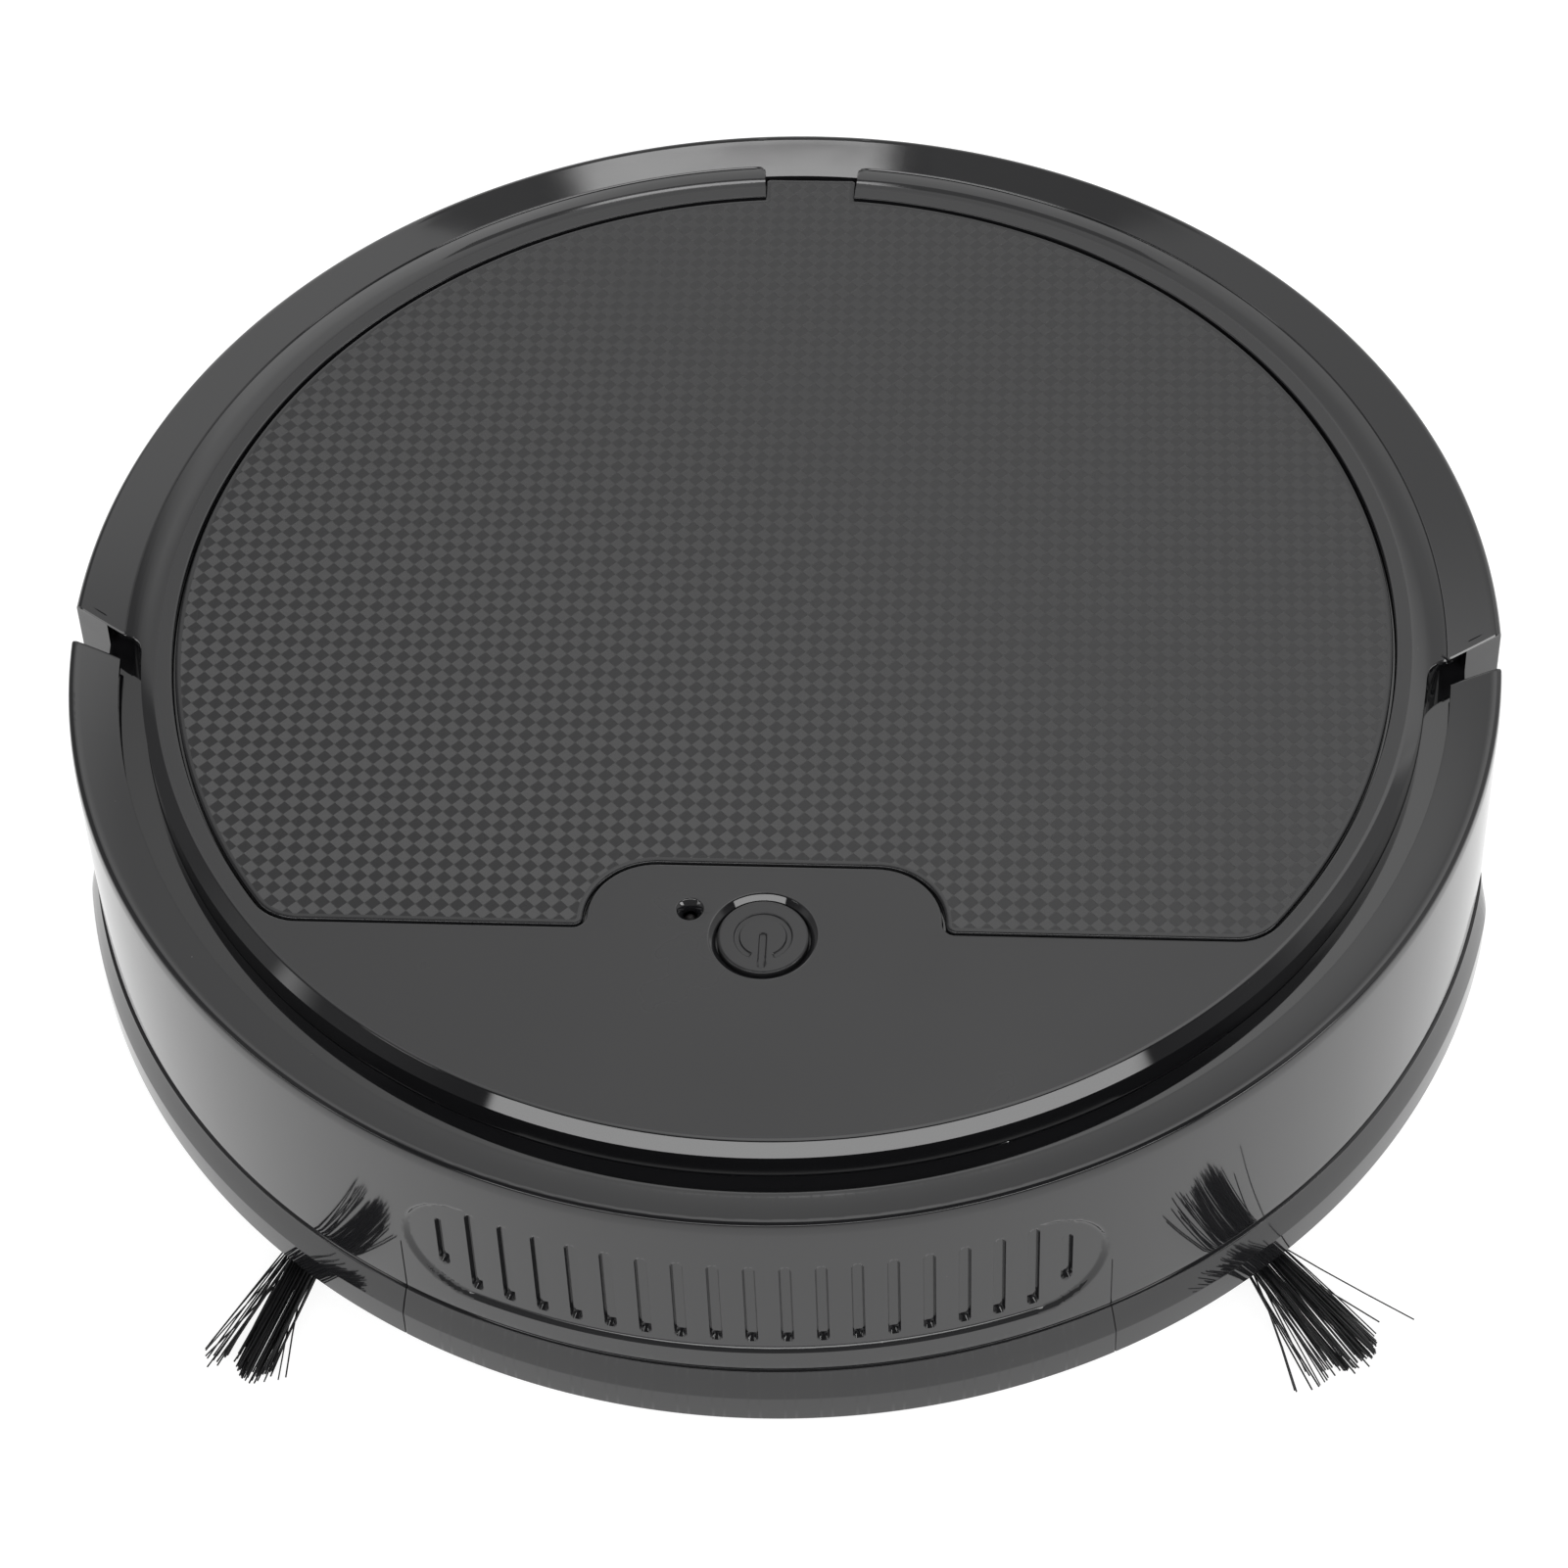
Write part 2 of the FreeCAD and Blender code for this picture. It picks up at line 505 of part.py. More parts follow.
# ---- bumper ----
def grille_cutters():
    """The shallow oval recess and the slots in it."""
    end_r = (GRILLE_Z1 - GRILLE_Z0) / 2
    mid_z = (GRILLE_Z0 + GRILLE_Z1) / 2
    straight = GRILLE_HALF_ANGLE - math.degrees(end_r / BODY_R)
    ring = cut(cyl(0, 0, GRILLE_Z0, GRILLE_Z1, 150), cyl(0, 0, 0, 80, BODY_R - GRILLE_DEPTH))
    fan = [(0, 0), heading(-straight, 200), (0, -230), heading(straight, 200)]
    tools = [ring.common(prism(fan, 0, 80))]
    for angle in (-straight, straight):
        x, y = heading(angle, 120)
        end = Part.makeCylinder(end_r, 40, V(x, y, mid_z), V(*heading(angle, 1), 0))
        tools.append(ring.common(end))
    for k in range(SLOT_COUNT):
        outermost = k in (0, SLOT_COUNT - 1)
        z0, z1 = (SLOT_END_Z0, SLOT_END_Z1) if outermost else (SLOT_Z0, SLOT_Z1)
        r = BODY_R - GRILLE_DEPTH - SLOT_DEPTH + 0.7
        end_r = SLOT_W / 2
        ends = [cyl_y(0, z, -150, -r, end_r) for z in (z0 + 1, z1 - 1)]
        slot = join(box(-end_r, end_r, -150, -r, z0 + 1, z1 - 1), *ends)
        tools.append(spun(slot, (k - (SLOT_COUNT - 1) / 2) * SLOT_PITCH))
    return tools


def bumper_shell():
    inner = BODY_R - BUMPER_T
    shell = turned([(SKIRT_R - BUMPER_T, GROUND), (SKIRT_R, GROUND), (SKIRT_R, SKIRT_Z),
                    (SKIRT_LIP_R, SKIRT_TOP_Z), (BODY_R, SKIRT_TOP_Z + 0.6), (BODY_R, BUMPER_EDGE_Z),
                    (BUMPER_EDGE_R, BUMPER_TOP_Z),
                    (BUMPER_SHOULDER_R, BUMPER_TOP_Z), (BUMPER_FLANGE_R, FLANGE_TIP_Z),
                    (BUMPER_FLANGE_R, BUMPER_FLANGE_Z), (inner, BUMPER_FLANGE_Z), (inner, SKIRT_TOP_Z)])
    shell = cut(shell, prism(BUMPER_ENDS, 0, 80))
    shell = cut(shell, *grille_cutters())
    extras = []
    for sx in (1, -1):
        extras.append(cyl_y(sx * BUMPER_SPRING_X, BUMPER_SPRING_Z, -133.5, BUMPER_PAD_Y, BUMPER_PAD_R))
        x = sx * SWITCH_TAB_X
        extras.append(box(x - 0.6, x + 0.6, -121, SWITCH_TAB_Y, SWITCH_Z - 1, SWITCH_Z + 1))
    keep = cyl(0, 0, 0, 80, BODY_R - 1)
    return join(shell, *[e.common(keep) for e in extras])


def bumper_spring(side):
    x = SIDES[side] * BUMPER_SPRING_X
    y0, y1 = BUMPER_PAD_Y + EPS, SPRING_SEAT_Y - EPS
    wire = cyl_y(x, BUMPER_SPRING_Z, y0, y1, BUMPER_SPRING_R)
    return cut(wire, cyl_y(x, BUMPER_SPRING_Z, y0 - 1, y1 + 1, BUMPER_SPRING_BORE_R))


def bumper_switches():
    blocks = []
    for side in SIDES:
        z0, z1 = SWITCH_Z - SWITCH_HALF_Z, SWITCH_Z + SWITCH_HALF_Z
        body = box(SWITCH_X0, SWITCH_X1, SWITCH_Y0, SWITCH_Y1, z0, z1)
        lugs = [box(SWITCH_X0, SWITCH_X0 + 3, SWITCH_LUG_Y, SWITCH_Y0 + 1, SWITCH_Z + a, SWITCH_Z + b)
                for a, b in ((-SWITCH_HALF_Z, -SWITCH_LUG_GAP), (SWITCH_LUG_GAP, SWITCH_HALF_Z))]
        block = cut(join(body, *lugs), cyl(SWITCH_PIVOT_X, LEVER_Y + 0.7, 0, 80, 0.65))
        blocks.append(mirrored(block, side))
    return Part.makeCompound(blocks)


def switch_lever(side):
    blade = box(SWITCH_PIVOT_X, 73.0, LEVER_Y, LEVER_Y + 0.5, SWITCH_Z - 1, SWITCH_Z + 1)
    pin = cyl(SWITCH_PIVOT_X, LEVER_Y + 0.7, SWITCH_Z - 3.2, SWITCH_Z + 3.2, 0.6)
    eye = cyl(SWITCH_PIVOT_X, LEVER_Y + 0.7, SWITCH_Z - 1, SWITCH_Z + 1, 1.1)
    return mirrored(join(blade, pin, eye), side)


# ---- lid ----
def lid():
    parts = [lid_outline(-LID_GAP, LID_Z0, LID_Z1)]
    holes = []
    for side in SIDES:
        foot_y = HINGE_Y + GOOSENECK_R1
        hook = cut(cyl_x(HINGE_Y, HINGE_Z, HINGE_X0, HINGE_X1, GOOSENECK_R1),
                   cyl_x(HINGE_Y, HINGE_Z, 0, 100, GOOSENECK_R0))
        hook = cut(hook, box(0, 100, HINGE_Y - 30, HINGE_Y - 2, 0, 100))
        hook = cut(hook, box(0, 100, -150, 0, HINGE_Z + 2, 100))
        leg = box(HINGE_X0, HINGE_X1, HINGE_Y - 2, HINGE_Y + 2, HINGE_Z - GOOSENECK_R0 - 1, HINGE_Z)
        foot = box(HINGE_X0, HINGE_X1, foot_y - 3.6, foot_y, HINGE_Z, LID_Z0 + 0.5)
        barrel = cyl_x(HINGE_Y, HINGE_Z, HINGE_X0, HINGE_X1, HINGE_BARREL_R)
        parts.append(mirrored(join(hook, leg, foot, barrel), side))
        holes.append(mirrored(cyl_x(HINGE_Y, HINGE_Z, 50, 75, HINGE_PIN_R + EPS), side))
    return cut(join(*parts), *holes)


def lid_hinge_pins():
    x0, x1 = HINGE_X0 - 0.4 - EAR_T, HINGE_X1 + 0.4 + EAR_T
    return Part.makeCompound([mirrored(cyl_x(HINGE_Y, HINGE_Z, x0, x1, HINGE_PIN_R), s) for s in SIDES])


# ---- controls and electronics ----
def power_button():
    cap = cyl(0, BUTTON_Y, TOP_Z - 3.2, CAP_Z, BUTTON_R)
    cap = cap.makeFillet(0.5, [e for e in cap.Edges if abs(e.CenterOfMass.z - CAP_Z) < 0.01])
    collar = cyl(0, BUTTON_Y, COLLAR_Z, TOP_Z - PLATE_T - EPS, COLLAR_R)
    stem = cyl(0, BUTTON_Y, COLLAR_Z - 0.9, COLLAR_Z + 0.6, 2.5)
    return join(cap, collar, stem)


def power_switch():
    top = BOARD_Z + BOARD_T + EPS
    return join(box(-3, 3, BUTTON_Y - 3, BUTTON_Y + 3, top, top + 3.2), cyl(0, BUTTON_Y, top, 65.6, 1.7))


def status_led():
    top = BOARD_Z + BOARD_T + EPS
    dome = Part.makeSphere(LED_R, V(LED_X, LED_Y, 70.0))
    return join(cyl(LED_X, LED_Y, top, 70.0, LED_R), dome.common(box(-50, 50, -100, 0, 69.5, 80)))


def main_board():
    board = box(-53, 53, -108, -60, BOARD_Z, BOARD_Z + BOARD_T)
    chips = [box(x, x + w, y, y + d, BOARD_Z - h, BOARD_Z + 0.2)
             for x, y, w, d, h in ((-12, -100, 14, 14, 1.4), (10, -98, 9, 7, 1.8), (20, -84, 12, 18, 6.0),
                                   (-34, -96, 10, 10, 2.0), (-32, -80, 8, 16, 5.0), (-6, -74, 8, 6, 1.4))]
    return join(board, *chips)


def battery_pack():
    pack = box(-BATTERY_HALF, BATTERY_HALF, -78.5, -44.5, FLOOR_Z + EPS, 32)
    edges = [e for e in pack.Edges if abs(e.Vertexes[0].X - e.Vertexes[-1].X) > 1]
    return pack.makeFillet(4, edges)


def battery_door():
    door = box(-DOOR_HALF, DOOR_HALF, DOOR_Y0, DOOR_Y1, GROUND, FLOOR_Z)
    tools = []
    for sx in (1, -1):
        x = sx * DOOR_SCREW_X
        tools += [cyl(x, DOOR_SCREW_Y, 0, 20, 1.3), cyl(x, DOOR_SCREW_Y, 0, 10.3, 2.4)]
    corners = [(a, b) for a in (-DOOR_HALF, DOOR_HALF) for b in (DOOR_Y0, DOOR_Y1)]
    return cut(round_upright(door, 3, corners), *tools)


def screw(x, y, z, head_r, shank_r, length):
    head = cut(cyl(x, y, z, z + 1.2, head_r), box(x - 1.6, x + 1.6, y - 0.3, y + 0.3, 0, z + 0.6),
               box(x - 0.3, x + 0.3, y - 1.6, y + 1.6, 0, z + 0.6))
    return join(head, cyl(x, y, z + 1, z + length, shank_r))


def battery_door_screws():
    screws = [screw(sx * DOOR_SCREW_X, DOOR_SCREW_Y, GROUND + 0.1, 2.2, 1.05, 9) for sx in (1, -1)]
    return Part.makeCompound(screws)


def housing_screws():
    return Part.makeCompound([screw(x, y, GROUND + 1.8, SCREW_HEAD_R, SCREW_R, 24) for x, y in BOSSES])


def charging_socket():
    body = cyl_y(SOCKET_X, SOCKET_Z, SOCKET_Y0, SOCKET_Y1, SOCKET_R)
    bore = cyl_y(SOCKET_X, SOCKET_Z, SOCKET_Y0 + 5, SOCKET_Y1 + 14, 2.8)
    pin = cyl_y(SOCKET_X, SOCKET_Z, SOCKET_Y0 - 2, SOCKET_Y1 - 0.5, 0.9)
    return cut(body, cut(bore, pin))


def cliff_sensor_windows():
    panes = [box(x - w + 0.1, x + w - 0.1, y - 2.9, y + 2.9, GROUND, 10.5) for x, y, w in CLIFF_WINDOWS]
    return Part.makeCompound(panes)


# ---- suction path ----
def suction_duct():
    outer = box(-DUCT_HALF, DUCT_HALF, DUCT_Y0, DUCT_Y1, GROUND, DUCT_Z1)
    inner = box(-DUCT_HALF + 1.6, DUCT_HALF - 1.6, DUCT_Y0 + 1.6, DUCT_Y1 - 1.6, 0, DUCT_Z1 - 1.6)
    port = box(-PORT_HALF, PORT_HALF, DUCT_Y1 - 3, DUCT_Y1 + 3, PORT_Z0, PORT_Z1)
    flanges = []
    for sx in (1, -1):
        a, b = sorted((sx * (DUCT_HALF - 1), sx * (DUCT_HALF + 4)))
        flanges.append(box(a, b, DUCT_Y0, DUCT_Y1, FLOOR_Z + EPS, 13.5))
    return cut(join(outer, *flanges), inner, port)


def suction_wiper():
    return prism_x(WIPER, -WIPER_HALF, WIPER_HALF)


def inlet_seal():
    y0, y1 = DUCT_Y1 + EPS, BIN_Y0 - EPS
    ring = box(-PORT_HALF - 3, PORT_HALF + 3, y0, y1, PORT_Z0 - 3, PORT_Z1 + 3)
    return cut(ring, box(-PORT_HALF, PORT_HALF, y0 - 1, y1 + 1, PORT_Z0, PORT_Z1))


def bin_corners(inset):
    return [(x, y) for x in (-BIN_HALF + inset, BIN_HALF - inset) for y in (BIN_Y0 + inset, BIN_Y1 - inset)]


def dust_bin():
    tub = box(-BIN_HALF, BIN_HALF, BIN_Y0, BIN_Y1, BIN_Z0, BIN_Z1)
    tub = round_upright(tub, BIN_CORNER_R, bin_corners(0))
    w = BIN_WALL
    room = box(-BIN_HALF + w, BIN_HALF - w, BIN_Y0 + w, BIN_Y1 - w, BIN_Z0 + w, 80)
    room = round_upright(room, BIN_CORNER_R - w, bin_corners(w))
    port = box(-PORT_HALF, PORT_HALF, BIN_Y0 - 1, BIN_Y0 + 3, PORT_Z0, PORT_Z1)
    outlet = box(-FILTER_HALF + 4, FILTER_HALF - 4, BIN_Y1 - 3, BIN_Y1 + 1, FILTER_Z0 + 4, FILTER_Z1 - 4)
    return cut(tub, room, port, outlet)


def dust_bin_cover():
    plate = box(-BIN_HALF, BIN_HALF, BIN_Y0, BIN_Y1, BIN_Z1 + EPS, 62.4)
    plate = round_upright(plate, BIN_CORNER_R, bin_corners(0))
    grip = box(-22, 22, 24, 30, 62, 69)
    grip = grip.makeFillet(2.5, [e for e in grip.Edges if abs(e.CenterOfMass.z - 69) < 0.01 and
                                 abs(abs(e.CenterOfMass.x) - 22) < 0.01])
    return cut(join(plate, grip), box(-18, 18, 20, 34, 62.4, 66.6))


def filter_frame():
    y0, y1 = FILTER_Y0 + EPS, FILTER_Y1
    frame = box(-FILTER_HALF, FILTER_HALF, y0, y1, FILTER_Z0, FILTER_Z1)
    inside = FILTER_HALF - 2.5
    frame = cut(frame, box(-inside, inside, y0 - 1, y1 + 1, FILTER_Z0 + 2.5, FILTER_Z1 - 2.5))
    bars = [box(x - 0.6, x + 0.6, y1 - 1.2, y1, FILTER_Z0 + 1, FILTER_Z1 - 1) for x in (-16.75, 0, 16.75)]
    return join(frame, *bars)


def filter_pleats():
    """Folded paper across the filter frame."""
    half = FILTER_HALF - 2.6
    folds = 16
    step = 2 * half / folds
    y0, y1, t = FILTER_Y0 + 1.0, FILTER_Y1 - 2.2, 1.0
    front = [(-half + k * step, y0 if k % 2 == 0 else y1 - t) for k in range(folds + 1)]
    back = [(x, y + t) for x, y in reversed(front)]
    return prism(front + back, FILTER_Z0 + 2.6, FILTER_Z1 - 2.6)


def fan_housing():
    drum = join(cyl_y(0, FAN_Z, FAN_Y0, FAN_Y1, FAN_R), box(-20, 20, FAN_Y0, FAN_Y1, FLOOR_Z + EPS, 20))
    drum = join(drum, box(0, FAN_R + 8, FAN_Y0, FAN_Y1, FAN_Z + 8, FAN_Z + FAN_R))
    chamber = join(cyl_y(0, FAN_Z, FAN_Y0 + 1.6, FAN_Y1 - 1.6, FAN_R - 1.6),
                   box(0, FAN_R + 10, FAN_Y0 + 1.6, FAN_Y1 - 1.6, FAN_Z + 9.6, FAN_Z + FAN_R - 1.6))
    inlet = cyl_y(0, FAN_Z, FAN_Y0 - 1, FAN_Y0 + 4, FAN_R / 2)
    shaft_hole = cyl_y(0, FAN_Z, FAN_Y1 - 4, FAN_Y1 + 1, 2.2)
    return cut(drum, chamber, inlet, shaft_hole)


def fan_impeller():
    back = 93.5
    parts = [cyl_y(0, FAN_Z, 92, back, 20), cyl_y(0, FAN_Z, 82, back, 5), cyl_y(0, FAN_Z, 83, 104, 1.5)]
    for k in range(7):
        blade = box(4, 19.5, 83, 92.5, -0.6, 0.6).rotated(V(0, 0, 0), V(0, 1, 0), 22)
        blade = blade.rotated(V(0, 0, 0), V(0, 1, 0), 360 * k / 7)
        parts.append(blade.translated(V(0, 0, FAN_Z)))
    return join(*parts)


def fan_motor():
    can = cyl_y(0, FAN_Z, FAN_Y1 + EPS, 122, 13)
    return cut(can, cyl_y(0, FAN_Z, 90, 106, 1.55))


# ---- side brushes ----
def placed_brush(shape, side):
    """Turns a piece built at the origin with its first arm along +X onto the brush's axis."""
    sx = SIDES[side]
    angle = -90 + sx * BRUSH_HEADING[side]
    return spun(shape, angle).translated(V(sx * BRUSH_X, BRUSH_Y, 0))


def side_brush_hub(side):
    hub = cyl(0, 0, BRUSH_HUB_Z, GROUND - 0.4, BRUSH_HUB_R)
    hub = hub.makeFillet(1.5, [e for e in hub.Edges if abs(e.CenterOfMass.z - BRUSH_HUB_Z) < 0.01])
    arms = [spun(box(6, TUFT_R - EPS, -3, 3, BRUSH_HUB_Z, 2 * BRUSH_HUB_Z), 120 * k) for k in range(3)]
    return placed_brush(cut(join(hub, *arms), cyl(0, 0, 5.2, 20, BRUSH_SHAFT_R)), side)


def side_brush_bristles(side):
    root, tip = TUFT_HALF_ROOT, TUFT_HALF_TIP
    outline = [(TUFT_R, -root), (BRUSH_REACH, -tip), (BRUSH_REACH, tip), (TUFT_R, root)]
    tuft = prism(outline, TUFT_Z0, TUFT_Z1)
    return placed_brush(Part.makeCompound([spun(tuft, 120 * k) for k in range(3)]), side)


def brush_gear(side):
    wheel = gear(BRUSH_TEETH, BRUSH_MODULE, BRUSH_GEAR_Z1 - BRUSH_GEAR_Z0)
    wheel = wheel.translated(V(0, 0, BRUSH_GEAR_Z0))
    piece = join(wheel, cyl(0, 0, 5.3, 24, BRUSH_SHAFT_R - 0.02))
    return spun(piece, 0 if SIDES[side] < 0 else 180).translated(V(SIDES[side] * BRUSH_X, BRUSH_Y, 0))


def brush_pinion(side):
    half_tooth = 180 / BRUSH_PINION_TEETH
    wheel = spun(gear(BRUSH_PINION_TEETH, BRUSH_MODULE, BRUSH_GEAR_Z1 - BRUSH_GEAR_Z0), half_tooth)
    piece = join(wheel.translated(V(0, 0, BRUSH_GEAR_Z0)), cyl(0, 0, 12, 28, 1.2))
    return piece.translated(V(SIDES[side] * motor_x(), BRUSH_Y, 0))


def brush_motor(side):
    x = SIDES[side] * motor_x()
    can = join(cyl(x, BRUSH_Y, BRUSH_GEAR_Z1 + 3 + EPS, 46, BRUSH_MOTOR_R), cyl(x, BRUSH_Y, 45, 47.5, 3))
    return cut(can, cyl(x, BRUSH_Y, 0, 29, 1.25))


# ---- drive units ----
def arm_outline(x0, x1, inset=0.0):
    big, small = ARM_BIG_R - inset, ARM_SMALL_R - inset
    return tangent_hull_x(WHEEL_Y, WHEEL_Z, big, PIVOT_Y, PIVOT_Z, small, x0, x1)


def pinion_y():
    return WHEEL_Y + DRIVE_MODULE * (DRIVE_TEETH + DRIVE_PINION_TEETH) / 2


def drive_arm(side):
    case = cut(arm_outline(ARM_X0, ARM_X1), arm_outline(ARM_X0 - 1, ARM_X1 - 2, ARM_WALL))
    pad = box(SUSPENSION_X - 4.5, ARM_X1, SUSPENSION_Y - 5, SUSPENSION_Y + 5, 42, SUSPENSION_PAD_Z)
    pad = cut(pad, arm_outline(ARM_X0 - 1, ARM_X1 - 2, ARM_WALL))
    trunnion = cyl_x(PIVOT_Y, PIVOT_Z, 75.8, 95.3, PIVOT_R)
    hub = cyl_x(PIVOT_Y, PIVOT_Z, ARM_X0, ARM_X1 - 1, ARM_SMALL_R - 1)
    arm = cut(join(case, pad, hub, trunnion), cyl_x(WHEEL_Y, WHEEL_Z, 80, 100, AXLE_R + EPS))
    return mirrored(arm, side)


def gearbox_cover(side):
    plate = arm_outline(COVER_X0, ARM_X0 - EPS)
    holes = [cyl_x(WHEEL_Y, WHEEL_Z, COVER_X0 + 1, 100, AXLE_R + EPS),
             cyl_x(PIVOT_Y, PIVOT_Z, 70, 100, PIVOT_R + EPS), cyl_x(pinion_y(), WHEEL_Z, 70, 100, 1.3)]
    return mirrored(cut(plate, *holes), side)


def drive_motor(side):
    can = join(cyl_x(pinion_y(), WHEEL_Z, DRIVE_MOTOR_X0 + 2, COVER_X0 - EPS, DRIVE_MOTOR_R),
               cyl_x(pinion_y(), WHEEL_Z, DRIVE_MOTOR_X0, DRIVE_MOTOR_X0 + 3, 3))
    return mirrored(cut(can, cyl_x(pinion_y(), WHEEL_Z, 72, 100, 1.25)), side)


def drive_pinion(side):
    wheel = spun(gear(DRIVE_PINION_TEETH, DRIVE_MODULE, 6), 90 + 180 / DRIVE_PINION_TEETH)
    piece = join(along_x(wheel, 83.5, pinion_y(), WHEEL_Z), cyl_x(pinion_y(), WHEEL_Z, 73, 89.6, 1.2))
    return mirrored(piece, side)


def drive_gear(side):
    wheel = spun(gear(DRIVE_TEETH, DRIVE_MODULE, 5), 90)
    piece = join(along_x(wheel, 84.0, WHEEL_Y, WHEEL_Z), cyl_x(WHEEL_Y, WHEEL_Z, 80.2, 108, AXLE_R))
    return mirrored(piece, side)


def wheel_hub(side):
    disc = cyl_x(WHEEL_Y, WHEEL_Z, WHEEL_X0 + 1, WHEEL_X1 - 1, RIM_R - 0.02)
    dish = cut(cyl_x(WHEEL_Y, WHEEL_Z, WHEEL_X1 - 5, 120, RIM_R - 3), cyl_x(WHEEL_Y, WHEEL_Z, 90, 120, 7))
    back = cut(cyl_x(WHEEL_Y, WHEEL_Z, 90, WHEEL_X0 + 5, RIM_R - 3), cyl_x(WHEEL_Y, WHEEL_Z, 90, 120, 7))
    bore = cyl_x(WHEEL_Y, WHEEL_Z, 90, 108.1, AXLE_R + 0.02)
    windows = [cyl_x(0, 15, 90, 120, 3.2).rotated(V(0, 0, 0), V(1, 0, 0), 60 * k) for k in range(6)]
    windows = [w.translated(V(0, WHEEL_Y, WHEEL_Z)) for w in windows]
    return mirrored(cut(disc, dish, back, bore, *windows), side)


def tyre(side):
    ring = cyl_x(WHEEL_Y, WHEEL_Z, WHEEL_X0, WHEEL_X1, WHEEL_R)
    ring = ring.makeFillet(1.2, [e for e in ring.Edges if e.Curve.TypeId == "Part::GeomCircle"])
    return mirrored(cut(ring, cyl_x(WHEEL_Y, WHEEL_Z, 90, 120, RIM_R)), side)


def suspension_spring(side):
    z0, z1 = SUSPENSION_PAD_Z + EPS, DOME_Z - EPS
    tube = cyl(SUSPENSION_X, SUSPENSION_Y, z0, z1, 3.5)
    return mirrored(cut(tube, cyl(SUSPENSION_X, SUSPENSION_Y, z0 - 1, z1 + 1, 2.6)), side)


# ---- caster ----
def caster_fork():
    axle_y = CASTER_Y + CASTER_TRAIL
    top = cyl(0, CASTER_Y, 23.2, 25.4, 12)
    legs = [box(*sorted((s * 4.4, s * 6.6)), axle_y - 4, axle_y + 4, CASTER_R - 3.5, 24) for s in (1, -1)]
    stem = cyl(0, CASTER_Y, 24, 36.5, 3.0)
    return cut(join(top, stem, *legs), cyl_x(axle_y, CASTER_R, -10, 10, 1.5))


def caster_axle():
    return cyl_x(CASTER_Y + CASTER_TRAIL, CASTER_R, -6.6, 6.6, 1.49)


def caster_wheel():
    axle_y = CASTER_Y + CASTER_TRAIL
    roller = cyl_x(axle_y, CASTER_R, -CASTER_W / 2, CASTER_W / 2, CASTER_R)
    roller = roller.makeFillet(1.5, [e for e in roller.Edges if e.Curve.TypeId == "Part::GeomCircle"])
    return cut(roller, cyl_x(axle_y, CASTER_R, -10, 10, 1.55))


SINGLE = [
    lower_housing, upper_housing, service_deck, bumper_shell, bumper_switches, lid, lid_hinge_pins,
    power_button, power_switch, status_led, main_board, battery_pack, battery_door, battery_door_screws,
    housing_screws, charging_socket, cliff_sensor_windows, suction_duct, suction_wiper, inlet_seal,
    dust_bin, dust_bin_cover, filter_frame, filter_pleats, fan_housing, fan_impeller, fan_motor,
    caster_fork, caster_axle, caster_wheel,
]
PAIRED = [
    bumper_spring, switch_lever, side_brush_hub, side_brush_bristles, brush_gear, brush_pinion,
    brush_motor, drive_arm, gearbox_cover, drive_motor, drive_pinion, drive_gear, wheel_hub, tyre,
    suspension_spring,
]

os.makedirs("parts", exist_ok=True)
pieces = {make.__name__: make() for make in SINGLE}
for make in PAIRED:
    for side in SIDES:
        pieces[make.__name__ + "_" + side] = make(side)
for name, shape in pieces.items():
    shape.exportStep(os.path.join("parts", name + ".step"))
    print(name, len(shape.Solids), round(shape.Volume / 1000, 2), shape.isValid())
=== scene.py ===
import json
import math
import random

import bmesh
import bpy
import numpy as np
from mathutils import Matrix, Vector
from mathutils.geometry import tessellate_polygon

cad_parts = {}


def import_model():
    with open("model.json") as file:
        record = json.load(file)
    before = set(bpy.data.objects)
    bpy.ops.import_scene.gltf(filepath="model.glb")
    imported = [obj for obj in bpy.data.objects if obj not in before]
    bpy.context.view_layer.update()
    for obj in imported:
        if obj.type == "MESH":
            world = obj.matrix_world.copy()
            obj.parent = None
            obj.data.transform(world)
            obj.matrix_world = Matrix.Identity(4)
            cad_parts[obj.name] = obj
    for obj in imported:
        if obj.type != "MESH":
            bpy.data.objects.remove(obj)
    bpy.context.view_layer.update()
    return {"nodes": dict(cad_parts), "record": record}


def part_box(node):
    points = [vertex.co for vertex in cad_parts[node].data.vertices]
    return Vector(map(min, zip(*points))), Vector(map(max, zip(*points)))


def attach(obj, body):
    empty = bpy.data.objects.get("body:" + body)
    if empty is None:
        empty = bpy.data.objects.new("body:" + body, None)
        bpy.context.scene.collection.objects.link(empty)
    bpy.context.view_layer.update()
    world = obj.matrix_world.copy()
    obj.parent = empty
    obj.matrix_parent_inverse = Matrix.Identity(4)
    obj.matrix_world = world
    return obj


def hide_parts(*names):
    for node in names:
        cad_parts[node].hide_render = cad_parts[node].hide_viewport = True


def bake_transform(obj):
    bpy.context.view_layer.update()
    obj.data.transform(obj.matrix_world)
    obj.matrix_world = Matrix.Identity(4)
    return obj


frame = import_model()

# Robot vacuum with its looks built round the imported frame.
# Sizes below are in millimetres, and every mesh is turned into metres where it is made.
# Angles round the body are in degrees from -Y, the way it drives, positive towards +X.

MM = 0.001
SIDES = {"left": 1, "right": -1}
NODES = frame["nodes"]
MATERIALS = {}                  # by slot or look, filled when the build starts


def low(node):
    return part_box(node)[0] / MM


def high(node):
    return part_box(node)[1] / MM


def centre(node):
    return (low(node) + high(node)) / 2


